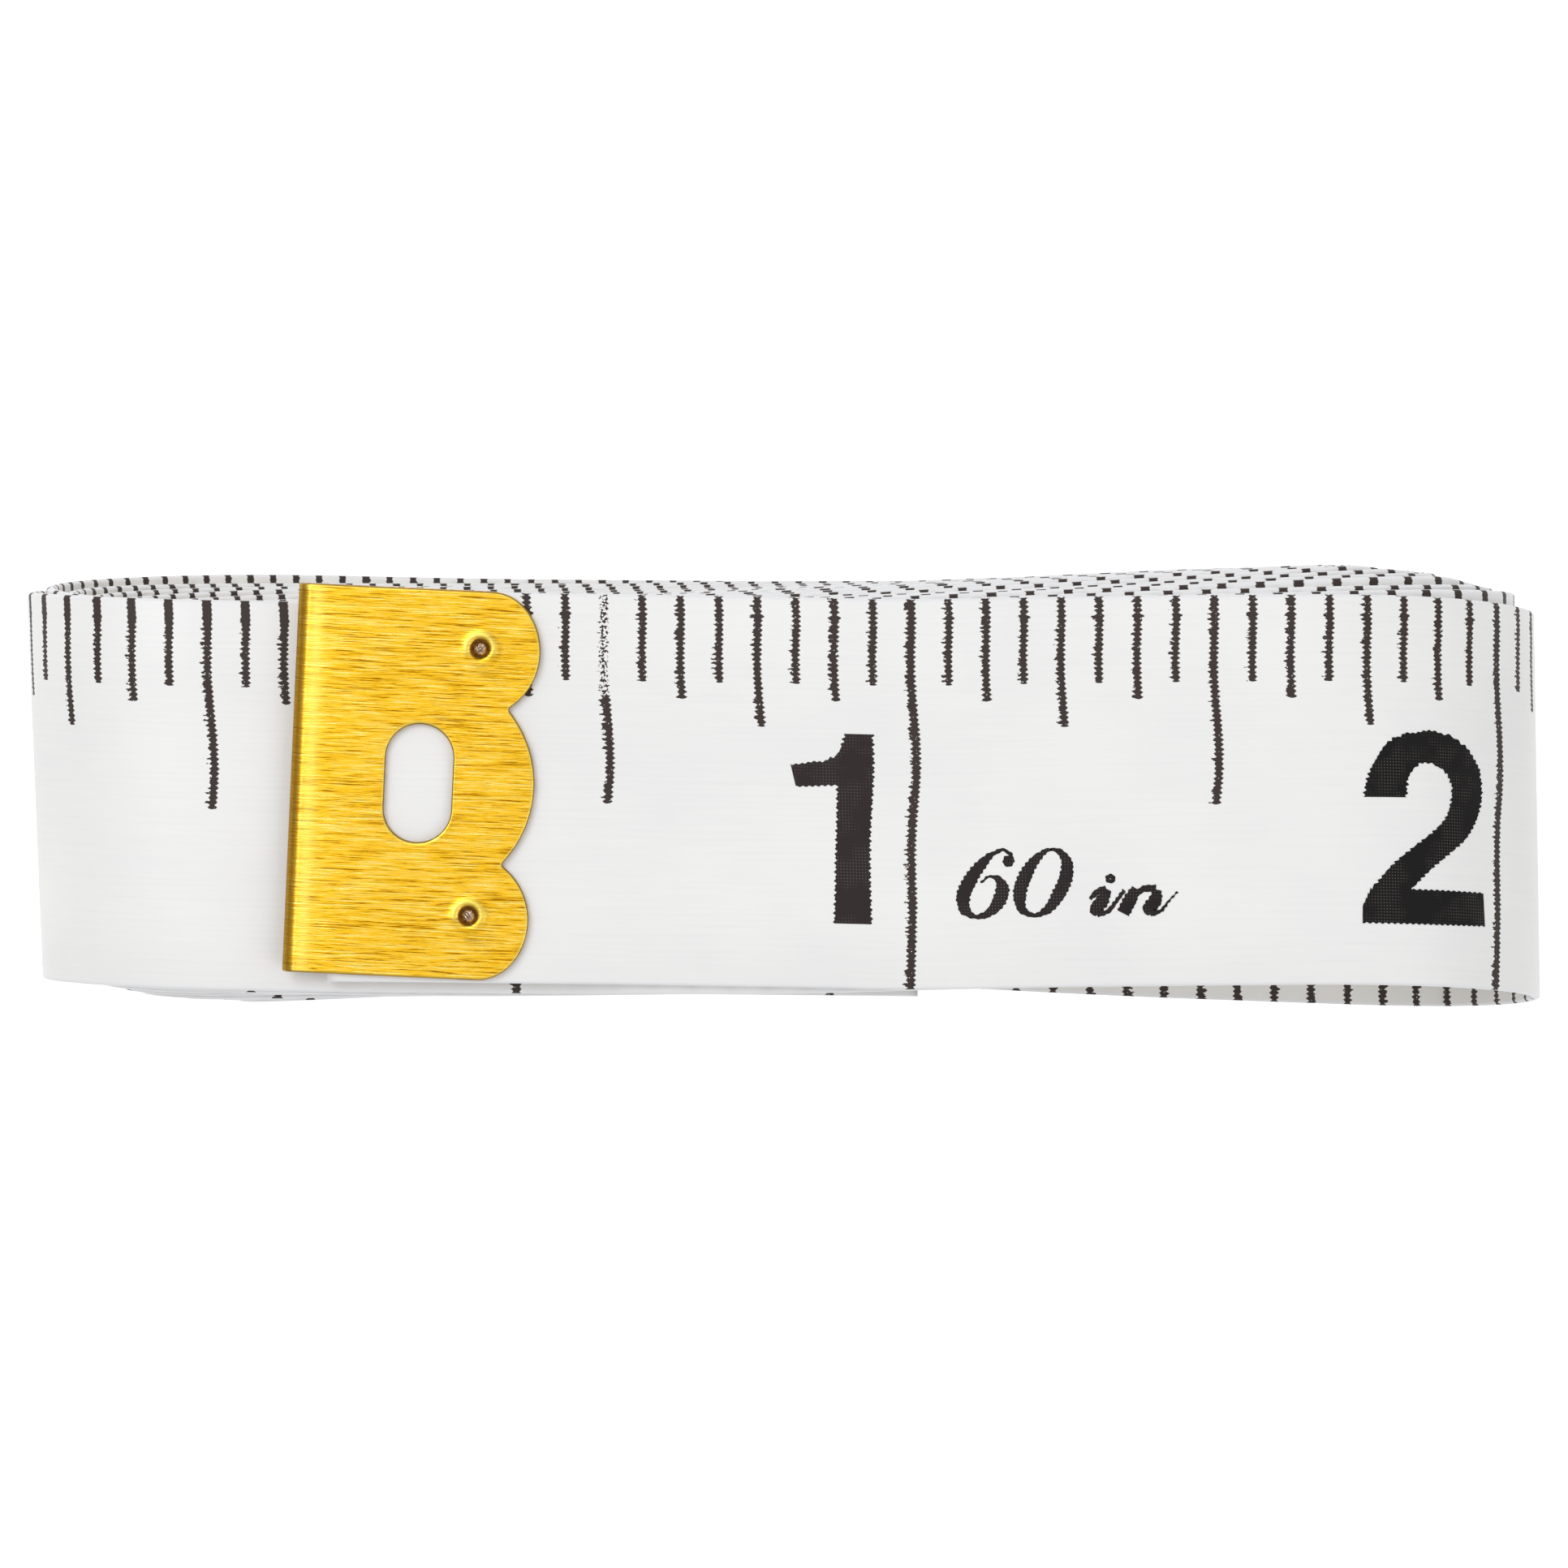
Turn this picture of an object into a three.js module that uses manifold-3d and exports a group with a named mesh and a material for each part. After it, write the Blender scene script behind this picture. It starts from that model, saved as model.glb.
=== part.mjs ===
import * as THREE from 'three';
import { mergeVertices } from 'three/addons/utils/BufferGeometryUtils.js';
import Module from 'manifold-3d';

// A cloth tape measure, wound up flat and lying on its bottom run.
// Millimetres, +Z up, +X along the roll, +Y across the ribbon. The outer end, with its
// brass tab, lies on top.
// One printed ribbon is wound into about thirteen flattened loops, and a folded brass
// tab is crimped over each of its two ends.

// The ribbon
const scaleLength = 1524; // sixty inches, from the fold of the outer tab
const endMargin = 1.7; // the ribbon runs on this far past the last inch line
const tapeWidth = 16.2;
const tapeThickness = 0.16; // drawn thinner than the cloth, to leave room between loops
const loopGap = 0.43; // between the faces of two neighbouring loops

// The roll, seen along the ribbon's width
const rollLength = 63;
const outerEndX = -20.4; // fold of the outer tab, on the top run
const innerEndX = 5.3; // cut end of the ribbon in the core, also on a top run
const tipHeightShare = { right: 0.06, left: 0.22 }; // tips sit above the middle
const cornerReachShare = { topRight: 1.26, bottomRight: 1.0, bottomLeft: 1.6, topLeft: 0.94 };
const runSteps = 5;
const cornerSteps = 5;
const rampSteps = 3;

// How the loops lie across the ribbon. Their top runs are more askew towards the core,
// and the bottom runs of the outer loops are askew the other way.
const coreSlope = 0.046; // sideways for each millimetre along X
const coreShift = 0.06;
const coreTurns = 11; // turns over which slope and shift grow to those of the core
const bottomSlope = 0.036;
const bottomShift = 0.12; // of the second bottom run
const bottomTurns = 6; // turns over which that slope fades out
const topShift = 0.19; // top runs under the outermost one lie this far towards +Y
const outerSlip = 0.66; // the outermost bottom run has slid this far towards -Y
const outerLean = 0.043; // and further for each millimetre along X
const outerLeanX = -18; // from here on
const innerEndSlip = 1.17; // the end in the core has slid towards -Y
const innerEndBend = 1.4; // power with which it does
const outerEndSlip = 0.32; // the outer end has slid towards +Y
const outerSlipX = 5; // where that begins

// The brass tabs
const tabLength = 10.1;
const tabWidth = 16.1; // across the ribbon
const sheetThickness = 0.3;
const leafClearance = 0.1; // between a leaf and the face of the ribbon
const tabClearance = 0.3; // between a tab and the loops beside it
const outerTabAngle = -0.04; // the outer tab is crimped on slightly askew, in radians
const outerTabShift = 0.36; // and a little towards +Y
const innerTabShift = 0.4;
const notchSpacing = 6.46; // between the two notches that part the three lobes
const notchDepth = 1.25;
const cornerReach = 2.05; // the two free corners are quarter ellipses
const cornerDrop = 2.5;
const windowWidth = 2.8;
const windowLength = 4.9; // across the ribbon
const windowInset = 5.3; // from the fold to the middle of the window
const prongInset = 7.6; // from the fold to the two pierced prongs
const prongSpacing = 11.1;
const prongRadius = 0.3;
const dimpleRadius = 0.5;
const dimpleDepth = 0.22;
const holeClearance = 0.3; // around a prong, where it passes through the ribbon
const foldSteps = 8;
const roundSteps = 12;
const overrun = 0.5; // past both faces, for every cut
const weldDistance = 0.0001; // corners closer than this are one

// Where the free stretch of the outer end starts to bend off the roll
const peelX = 20;
const peelGap = 0.3;
const liftRamp = 6; // length over which the ribbon bends towards a tab

const wasm = await Module();
wasm.setup();

const pitch = tapeThickness + loopGap;
const tabHalf = tapeThickness / 2 + leafClearance + sheetThickness;
const innerFold = tapeThickness / 2 + leafClearance;
const tabRoom = tabHalf + tabClearance + tapeThickness / 2; // ribbon in a tab to the next run
const coreHalf = tabRoom - pitch / 2;
const outerInset = tabHalf + (tabWidth / 2) * Math.abs(Math.sin(outerTabAngle)); // fold to cut end

// A loop starts at the left end of its top run and goes clockwise, seen from -Y.
// These are the shares of a turn at which its stretches end.
const loopShares = { top: 0.3, rightTip: 0.4, right: 0.5, bottom: 0.8, leftTip: 0.9, left: 1 };
const leastStepShare = 0.001; // of a turn, between two sections

const mix = (a, b, share) => a + (b - a) * share;
const clamp01 = (value) => Math.min(1, Math.max(0, value));
const smooth = (value) => clamp01(value) ** 2 * (3 - 2 * clamp01(value));

function bisect(wanted, low, high) {
  for (let i = 0; i < 50; i++) {
    const middle = (low + high) / 2;
    if (wanted(middle)) high = middle;
    else low = middle;
  }
  return (low + high) / 2;
}

// How far the ribbon has got from one top run, at 0, past the bottom run, at a half,
// to the next top run, at 1. It is steady along the runs, so they lie level.
function stepAt(turn) {
  const s = loopShares;
  const share = turn - Math.floor(turn);
  return (smooth((share - s.top) / (s.right - s.top)) + smooth((share - s.bottom) / (s.left - s.bottom))) / 2;
}

// 0 on a top run and 1 on a bottom run.
const underAt = (turn) => 1 - Math.abs(1 - 2 * stepAt(turn));

// Sizes of the flattened loop at a given turn, in a roll of so many turns
// whose tips draw in by recess a turn more than its runs do.
function loopAt(turn, roll) {
  const half = coreHalf + pitch * (roll.turns - Math.floor(turn) - stepAt(turn));
  const draw = pitch + roll.recess;
  const tip = rollLength / 2 - tapeThickness / 2;
  const right = tip + draw * (loopShares.rightTip - turn);
  const left = tip + draw * (loopShares.leftTip - turn);
  return {
    half,
    rightTip: right,
    leftTip: left,
    topRight: right - cornerReachShare.topRight * half,
    bottomRight: right - cornerReachShare.bottomRight * half,
    bottomLeft: left - cornerReachShare.bottomLeft * half,
    topLeft: left - cornerReachShare.topLeft * half,
    rightHeight: tipHeightShare.right * half,
    leftHeight: tipHeightShare.left * half,
  };
}

// The middle of the ribbon seen from -Y, as X and Z. A loop is two straight runs joined
// by quarter ellipses that meet at its right and left tips.
function profileAt(turn, roll) {
  const s = loopShares;
  const share = turn - Math.floor(turn);
  const l = loopAt(turn, roll);
  const along = (from, to) => (share - from) / (to - from);
  const quarter = (from, to) => (along(from, to) * Math.PI) / 2;
  if (share < s.top) {
    return [mix(-l.topLeft, l.topRight, along(0, s.top)), l.half];
  }
  if (share < s.rightTip) {
    const a = quarter(s.top, s.rightTip);
    const x = l.topRight + (l.rightTip - l.topRight) * Math.sin(a);
    return [x, l.rightHeight + (l.half - l.rightHeight) * Math.cos(a)];
  }
  if (share < s.right) {
    const a = quarter(s.rightTip, s.right);
    const x = l.bottomRight + (l.rightTip - l.bottomRight) * Math.cos(a);
    return [x, l.rightHeight - (l.half + l.rightHeight) * Math.sin(a)];
  }
  if (share < s.bottom) {
    return [mix(l.bottomRight, -l.bottomLeft, along(s.right, s.bottom)), -l.half];
  }
  if (share < s.leftTip) {
    const a = quarter(s.bottom, s.leftTip);
    const x = -l.bottomLeft - (l.leftTip - l.bottomLeft) * Math.sin(a);
    return [x, l.leftHeight - (l.half + l.leftHeight) * Math.cos(a)];
  }
  const a = quarter(s.leftTip, s.left);
  const x = -l.topLeft - (l.leftTip - l.topLeft) * Math.cos(a);
  return [x, l.leftHeight + (l.half - l.leftHeight) * Math.sin(a)];
}

// The turn at which the top run of a given loop passes a given X.
const turnAtX = (loop, x, roll) =>
  bisect((turn) => profileAt(turn, roll)[0] > x, loop, loop + loopShares.top);

// Shares of a turn at which the ribbon has its sections.
function loopStations() {
  const s = loopShares;
  const stretches = [
    [0, s.top, runSteps],
    [s.top, s.rightTip, cornerSteps],
    [s.rightTip, s.right, cornerSteps],
    [s.right, s.bottom, runSteps],
    [s.bottom, s.leftTip, cornerSteps],
    [s.leftTip, s.left, cornerSteps],
  ];
  const found = [];
  for (const [from, to, steps] of stretches) {
    for (let i = 0; i < steps; i++) found.push(mix(from, to, i / steps));
  }
  return found;
}
const stations = loopStations();

// Turns at which the ribbon bends towards or away from the tabs' leaves.
function rampTurns(roll) {
  const found = [];
  for (let i = 0; i <= rampSteps; i++) {
    const past = tabLength + (liftRamp * i) / rampSteps;
    found.push(turnAtX(0, outerEndX + past, roll), turnAtX(roll.turns, innerEndX - past, roll));
  }
  return found;
}

// Turns from first to last, with every station of every loop between them.
function turnsBetween(first, last, roll) {
  const found = [first, last, ...rampTurns(roll)];
  for (let loop = Math.floor(first); loop <= last; loop++) {
    for (const share of stations) found.push(loop + share);
  }
  const inside = found.filter((turn) => turn >= first && turn <= last).sort((a, b) => a - b);
  return inside.filter((turn, i) => i === 0 || turn - inside[i - 1] > leastStepShare);
}

// The ribbon leaves its loop near each end, to make room for the tab's leaf.
function liftAt(turn, x, roll) {
  if (turn < loopShares.top) {
    return (tabRoom - pitch) * smooth((outerEndX + tabLength + liftRamp - x) / liftRamp);
  }
  if (turn > roll.turns) {
    const above = loopAt(roll.turns - 1, roll).half;
    const below = loopAt(roll.turns - 1 + loopShares.bottom, roll).half;
    const middle = (above - below) / 2;
    const share = smooth((x - innerEndX + tabLength + liftRamp) / liftRamp);
    return (middle - loopAt(turn, roll).half) * share;
  }
  return 0;
}

function centreAt(turn, roll) {
  const [x, z] = profileAt(turn, roll);
  return new THREE.Vector2(x, z + liftAt(turn, x, roll));
}

// Y of the ribbon's near edge.
function edgeAt(turn, x, roll) {
  const s = loopShares;
  const under = underAt(turn);
  const inner = smooth((turn - s.right) / (s.left - s.right)) * (1 - turn / roll.turns);
  const shift = topShift * (1 - under) * Math.max(0, inner);
  const core = clamp01(turn / coreTurns) * (coreShift + coreSlope * x);
  const outer = -outerSlip - outerLean * Math.max(x, outerLeanX);
  const below = bottomShift * clamp01(2 + s.left - turn) - bottomSlope * clamp01(1 - turn / bottomTurns) * x;
  const bottom = under * (turn < s.left ? outer : below);
  const innerShare = clamp01((turn - roll.turns) / (roll.innerTurn - roll.turns));
  const innerSlid = innerEndSlip * innerShare ** innerEndBend;
  const outerShare = turn < s.top ? smooth((outerSlipX - x) / (outerSlipX - outerEndX)) : 0;
  return shift + core + bottom - innerSlid + outerEndSlip * outerShare;
}

function ribbonLength(roll) {
  const first = turnAtX(0, outerEndX + outerInset, roll);
  const last = turnAtX(roll.turns, innerEndX, roll);
  const path = turnsBetween(first, last, roll).map((turn) => centreAt(turn, roll));
  let length = 0;
  for (let i = 1; i < path.length; i++) length += path[i].distanceTo(path[i - 1]);
  return length;
}

// The fewest whole turns that take up the ribbon, with the tips drawn in until it fits.
function solveRoll() {
  const wanted = scaleLength + endMargin - outerInset;
  let turns = 1;
  while (ribbonLength({ turns, recess: 0 }) < wanted) turns += 1;
  const mostRecess = rollLength / 2 / turns;
  const recess = bisect((value) => ribbonLength({ turns, recess: value }) < wanted, 0, mostRecess);
  const roll = { turns, recess };
  roll.outerTurn = turnAtX(0, outerEndX + outerInset, roll);
  roll.peelTurn = turnAtX(0, peelX, roll);
  roll.rollTurn = turnAtX(0, peelX + peelGap, roll);
  roll.innerTurn = turnAtX(turns, innerEndX, roll);
  return roll;
}
const roll = solveRoll();

// A closed ribbon between two turns, with four corners at each section.
function ribbonGeometry(first, last) {
  const turns = turnsBetween(first, last, roll);
  const path = turns.map((turn) => centreAt(turn, roll));
  const positions = [];
  path.forEach((point, i) => {
    const before = path[Math.max(0, i - 1)];
    const after = path[Math.min(path.length - 1, i + 1)];
    const along = point.clone().sub(before).normalize().add(after.clone().sub(point).normalize());
    const atEnd = i === 0 || i === path.length - 1;
    const miter = atEnd ? 1 : along.length() / 2;
    along.normalize();
    const inward = new THREE.Vector2(along.y, -along.x).multiplyScalar(tapeThickness / 2 / miter);
    const near = edgeAt(turns[i], point.x, roll);
    const outer = point.clone().sub(inward);
    const inner = point.clone().add(inward);
    positions.push(outer.x, near, outer.y, inner.x, near, inner.y);
    positions.push(inner.x, near + tapeWidth, inner.y, outer.x, near + tapeWidth, outer.y);
  });
  const index = [];
  for (let i = 0; i < path.length - 1; i++) {
    for (let side = 0; side < 4; side++) {
      const a = i * 4 + side;
      const b = i * 4 + ((side + 1) % 4);
      index.push(a, b, a + 4, b, b + 4, a + 4);
    }
  }
  const end = (path.length - 1) * 4;
  index.push(0, 2, 1, 0, 3, 2, end, end + 1, end + 2, end, end + 2, end + 3);
  const geometry = new THREE.BufferGeometry();
  geometry.setAttribute('position', new THREE.Float32BufferAttribute(positions, 3));
  geometry.setIndex(index);
  return geometry;
}

function toSolid(geometry) {
  const bare = geometry.clone();
  bare.deleteAttribute('normal');
  bare.deleteAttribute('uv');
  const merged = mergeVertices(bare, weldDistance);
  return new wasm.Manifold(new wasm.Mesh({
    numProp: 3,
    vertProperties: new Float32Array(merged.attributes.position.array),
    triVerts: new Uint32Array(merged.index.array),
  }));
}

function toGeometry(solid) {
  const mesh = solid.getMesh();
  const geometry = new THREE.BufferGeometry();
  geometry.setAttribute('position', new THREE.BufferAttribute(mesh.vertProperties, 3));
  geometry.setIndex(new THREE.BufferAttribute(mesh.triVerts, 1));
  geometry.computeVertexNormals();
  return geometry;
}

// A round cutter or prong along Z, from one radius at the top to another at the bottom.
function roundSolid(x, y, topRadius, bottomRadius, top, bottom) {
  const geometry = new THREE.CylinderGeometry(topRadius, bottomRadius, top - bottom, roundSteps);
  geometry.rotateX(Math.PI / 2);
  geometry.translate(x, y, (top + bottom) / 2);
  return toSolid(geometry);
}

// Radius of an arc that rises by depth over half its chord.
const arcRadius = (halfChord, depth) => (halfChord ** 2 + depth ** 2) / (2 * depth);

// Outline of a leaf from above: straight at the fold, three round lobes at the free edge,
// and a round-ended window. X runs from the fold.
function leafOutline() {
  const half = tabWidth / 2;
  const cornerX = tabLength - cornerReach;
  const sideY = half - cornerDrop; // where the two outer lobes reach furthest
  const sideReach = sideY - notchSpacing / 2;
  const sideRadius = arcRadius(sideReach, notchDepth);
  const sideSweep = Math.asin(sideReach / sideRadius);
  const middleRadius = arcRadius(notchSpacing / 2, notchDepth);
  const middleSweep = Math.asin(notchSpacing / 2 / middleRadius);
  const outline = new THREE.Shape();
  outline.moveTo(-overrun, -half);
  outline.lineTo(cornerX, -half);
  outline.absellipse(cornerX, -sideY, cornerReach, cornerDrop, -Math.PI / 2, 0);
  outline.absarc(tabLength - sideRadius, -sideY, sideRadius, 0, sideSweep);
  outline.absarc(tabLength - middleRadius, 0, middleRadius, -middleSweep, middleSweep);
  outline.absarc(tabLength - sideRadius, sideY, sideRadius, -sideSweep, 0);
  outline.absellipse(cornerX, sideY, cornerReach, cornerDrop, 0, Math.PI / 2);
  outline.lineTo(-overrun, half);
  outline.closePath();
  const end = windowWidth / 2;
  const flat = windowLength / 2 - end;
  const hole = new THREE.Path();
  hole.moveTo(windowInset + end, -flat);
  hole.lineTo(windowInset + end, flat);
  hole.absarc(windowInset, flat, end, 0, Math.PI);
  hole.lineTo(windowInset - end, -flat);
  hole.absarc(windowInset, -flat, end, Math.PI, 2 * Math.PI);
  outline.holes.push(hole);
  return outline;
}

// The sheet bent round the end of the ribbon, seen along the fold.
function foldProfile() {
  const profile = new THREE.Shape();
  profile.moveTo(tabLength + overrun, -tabHalf);
  profile.lineTo(tabLength + overrun, -innerFold);
  profile.lineTo(tabHalf, -innerFold);
  profile.absarc(tabHalf, 0, innerFold, -Math.PI / 2, -1.5 * Math.PI, true);
  profile.lineTo(tabLength + overrun, innerFold);
  profile.lineTo(tabLength + overrun, tabHalf);
  profile.lineTo(tabHalf, tabHalf);
  profile.absarc(tabHalf, 0, tabHalf, Math.PI / 2, 1.5 * Math.PI);
  profile.closePath();
  return profile;
}

const prongPlaces = [-prongSpacing / 2, prongSpacing / 2].map((y) => new THREE.Vector2(prongInset, y));

// A tab with its fold at the origin and its leaves along +X. The prongs are pierced
// from the top leaf through the ribbon, and leave a dimple behind them.
function tabGeometry() {
  const folded = new THREE.ExtrudeGeometry(foldProfile(), {
    depth: tabWidth, bevelEnabled: false, curveSegments: foldSteps,
  });
  folded.rotateX(Math.PI / 2);
  folded.translate(0, tabWidth / 2, 0);
  const stamped = new THREE.ExtrudeGeometry(leafOutline(), {
    depth: 2 * (tabHalf + overrun), bevelEnabled: false, curveSegments: foldSteps,
  });
  stamped.translate(0, 0, -tabHalf - overrun);
  let tab = toSolid(folded).intersect(toSolid(stamped));
  const seat = tabHalf - sheetThickness / 2;
  for (const { x, y } of prongPlaces) {
    tab = tab.add(roundSolid(x, y, prongRadius, prongRadius, seat, -seat));
    tab = tab.subtract(roundSolid(x, y, dimpleRadius, 0, tabHalf, tabHalf - dimpleDepth));
  }
  return toGeometry(tab);
}

const cloth = new THREE.MeshStandardMaterial({ color: 0xefefee, roughness: 0.55, metalness: 0 });
const brass = new THREE.MeshStandardMaterial({ color: 0xd9a521, roughness: 0.32, metalness: 1 });

function addPiece(parent, name, geometry, material) {
  const mesh = new THREE.Mesh(geometry, material.clone());
  mesh.name = name;
  parent.add(mesh);
  return mesh;
}

// A tab is mounted on the ribbon in a group of its own, turned about Z by its angle.
function mountTab(parent, name, turn, foldX, shift, angle, facing) {
  const middle = centreAt(turn, roll);
  const holder = new THREE.Group();
  holder.position.set(foldX, edgeAt(turn, middle.x, roll) + tapeWidth / 2 + shift, middle.y);
  holder.rotation.set(0, facing, angle);
  parent.add(holder);
  addPiece(holder, name, tabGeometry(), brass);
  holder.updateMatrixWorld(true);
  return holder;
}

// Holes that the prongs of a mounted tab need in the ribbon.
function pierce(geometry, holder) {
  let solid = toSolid(geometry);
  const reach = tabHalf + overrun;
  const radius = prongRadius + holeClearance;
  for (const prong of prongPlaces) {
    const { x, y, z } = holder.localToWorld(new THREE.Vector3(prong.x, prong.y, 0));
    solid = solid.subtract(roundSolid(x, y, radius, radius, z + reach, z - reach));
  }
  return toGeometry(solid);
}

const model = new THREE.Group();
const halfTab = tabLength / 2;
const outerMiddle = turnAtX(0, outerEndX + halfTab, roll);
const outerTab = mountTab(model, 'outer_end_tab', outerMiddle, outerEndX, outerTabShift, outerTabAngle, 0);
const innerMiddle = turnAtX(roll.turns, innerEndX - halfTab, roll);
const innerFoldX = innerEndX + tabHalf;
const innerTab = mountTab(model, 'inner_end_tab', innerMiddle, innerFoldX, innerTabShift, 0, Math.PI);

const freeEnd = pierce(ribbonGeometry(roll.outerTurn, roll.peelTurn), outerTab);
const wound = pierce(ribbonGeometry(roll.rollTurn, roll.innerTurn), innerTab);
addPiece(model, 'tape_free_end', freeEnd, cloth);
addPiece(model, 'tape_roll', wound, cloth);

// The least gap of the ribbon to itself, between points on neighbouring turns.
function leastGap() {
  const fine = [];
  const turns = turnsBetween(roll.outerTurn, roll.innerTurn, roll);
  const path = turns.map((turn) => centreAt(turn, roll));
  const quarterShares = [0, 0.25, 0.5, 0.75];
  for (let i = 0; i + 1 < path.length; i++) {
    for (const share of quarterShares) {
      const point = path[i].clone().lerp(path[i + 1], share);
      fine.push({ point, turn: mix(turns[i], turns[i + 1], share) });
    }
  }
  let least = Infinity;
  for (const a of fine) {
    for (const b of fine) {
      if (b.turn - a.turn < loopShares.top) continue;
      least = Math.min(least, a.point.distanceTo(b.point));
    }
  }
  return least - tapeThickness;
}
console.log(`turns ${(roll.innerTurn - roll.outerTurn).toFixed(2)}, recess ${roll.recess.toFixed(3)} mm`);
console.log(`least gap of the ribbon to itself ${leastGap().toFixed(3)} mm`);

// Origin at the middle of the foot, on the floor.
const bounds = new THREE.Box3().setFromObject(model, true);
const middle = bounds.getCenter(new THREE.Vector3());
model.position.set(-middle.x, -middle.y, -bounds.min.z);
const group = new THREE.Group();
group.add(model);
group.updateMatrixWorld(true);

export default group;
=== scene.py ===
import math

import bmesh
import bpy
import numpy as np
from mathutils import Matrix, Vector


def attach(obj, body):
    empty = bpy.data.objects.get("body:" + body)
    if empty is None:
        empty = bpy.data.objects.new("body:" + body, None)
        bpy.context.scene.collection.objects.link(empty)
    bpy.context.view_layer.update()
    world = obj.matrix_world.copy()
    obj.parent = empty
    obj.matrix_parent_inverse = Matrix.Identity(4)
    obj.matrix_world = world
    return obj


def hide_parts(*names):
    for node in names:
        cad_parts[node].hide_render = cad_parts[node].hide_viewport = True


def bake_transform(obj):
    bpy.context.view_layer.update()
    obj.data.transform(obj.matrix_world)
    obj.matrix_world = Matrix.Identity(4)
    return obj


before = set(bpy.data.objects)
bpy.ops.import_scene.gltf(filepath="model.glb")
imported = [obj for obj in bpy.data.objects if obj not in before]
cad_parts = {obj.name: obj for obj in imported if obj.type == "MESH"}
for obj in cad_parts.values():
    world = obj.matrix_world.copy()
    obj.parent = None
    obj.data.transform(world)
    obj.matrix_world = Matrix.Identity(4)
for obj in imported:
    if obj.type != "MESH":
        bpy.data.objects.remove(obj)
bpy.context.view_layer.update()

mm = 0.001
inch = 25.4  # millimetres
print("frame loaded:", ", ".join(sorted(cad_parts)))


# Small helpers

def smooth(value):
    # 0 up to 0, 1 from 1 on, and 3v^2 - 2v^3 between them
    clipped = np.clip(value, 0, 1)
    return clipped ** 2 * (3 - 2 * clipped)


def linearColour(code):
    # sRGB hex to linear red, green, blue and alpha
    parts = [int(code[i:i + 2], 16) / 255 for i in (1, 3, 5)]
    return [p / 12.92 if p <= 0.04045 else ((p + 0.055) / 1.055) ** 2.4 for p in parts] + [1]


def addNode(tree, kind, settings, links):
    # one node, with its settings, and values or sockets for its inputs
    node = tree.nodes.new(kind)
    for name, value in settings.items():
        setattr(node, name, value)
    for name, value in links.items():
        if isinstance(value, bpy.types.Node):
            value = value.outputs[0]
        if isinstance(value, bpy.types.NodeSocket):
            tree.links.new(value, node.inputs[name])
        else:
            node.inputs[name].default_value = value
    return node


def newMaterial(name):
    # a material with an empty node tree
    material = bpy.data.materials.new(name)
    material.use_nodes = True
    tree = material.node_tree
    tree.nodes.clear()
    return material, tree


def makePiece(name, points, faces, material, uv=None, smoothShade=True):
    # points in millimetres, faces as lists of corner numbers, uv as one pair a corner, and
    # smooth shading for all faces or for each
    mesh = bpy.data.meshes.new(name)
    mesh.from_pydata((points * mm).tolist(), [], faces)
    if uv is not None:
        layer = mesh.uv_layers.new(name="print")
        layer.data.foreach_set("uv", uv.astype(np.float32).ravel())
    mesh.polygons.foreach_set("use_smooth", np.full(len(mesh.polygons), smoothShade))
    mesh.materials.append(material)
    mesh.update()
    piece = bpy.data.objects.new(name, mesh)
    bpy.context.scene.collection.objects.link(piece)
    return piece


def gridFaces(rows, columns, closedRows=False, closedColumns=False):
    # corner numbers of a grid's quads, row by row
    lastRow = rows if closedRows else rows - 1
    lastColumn = columns if closedColumns else columns - 1
    i, j = np.meshgrid(np.arange(lastRow), np.arange(lastColumn), indexing="ij")
    nextRow, nextColumn = (i + 1) % rows, (j + 1) % columns
    corners = [i * columns + j, nextRow * columns + j,
               nextRow * columns + nextColumn, i * columns + nextColumn]
    return np.stack(corners, -1).reshape(-1, 4)


# The camera looks straight down on the roll, tipped a little towards +Y

cameraSettings = {
    "aim": (-0.1, 0.62, 16.335),  # middle of the picture, on the face of the top run
    "distance": 600.0,
    "tip": 2.43,  # degrees
    "span": 64.94,  # width of the picture at the aim
    "sensor": 36.0,
    "clip": (0.01, 20.0),  # metres
}


def makeCamera(s):
    # the lens is as long as the sensor times the distance over the span, and the camera
    # looks along Z, tipped
    data = bpy.data.cameras.new("camera")
    data.sensor_width = s["sensor"]
    data.lens = s["sensor"] * s["distance"] / s["span"]
    data.clip_start, data.clip_end = s["clip"]
    camera = bpy.data.objects.new("camera", data)
    tip = math.radians(s["tip"])
    back = Vector((0, math.sin(tip), math.cos(tip)))
    across = Vector((1, 0, 0))
    up = back.cross(across)
    place = Matrix.Translation(Vector(s["aim"]) * mm + back * s["distance"] * mm)
    camera.matrix_world = place @ Matrix((across, up, back)).transposed().to_4x4()
    bpy.context.scene.collection.objects.link(camera)
    bpy.context.scene.camera = camera


makeCamera(cameraSettings)
print("camera placed")

stageSettings = {
    "floorHalf": 3.0,  # metres
    "floorColour": "#f4f4f3",
    "floorGlow": 0.55,  # seen by the camera and in reflections
    "worldStrength": 0.52,  # as a light; the backdrop shows at 1
    "lamps": [  # name, place in metres, size, watts
        ("key", (-0.30, 0.26, 0.62), 0.42, 2.25),
        ("fill", (0.42, -0.22, 0.52), 0.5, 0.95),
        ("overhead", (-0.03, -0.04, 0.92), 0.3, 0.13),  # small and right above, for the brass to mirror
    ],
}


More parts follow.
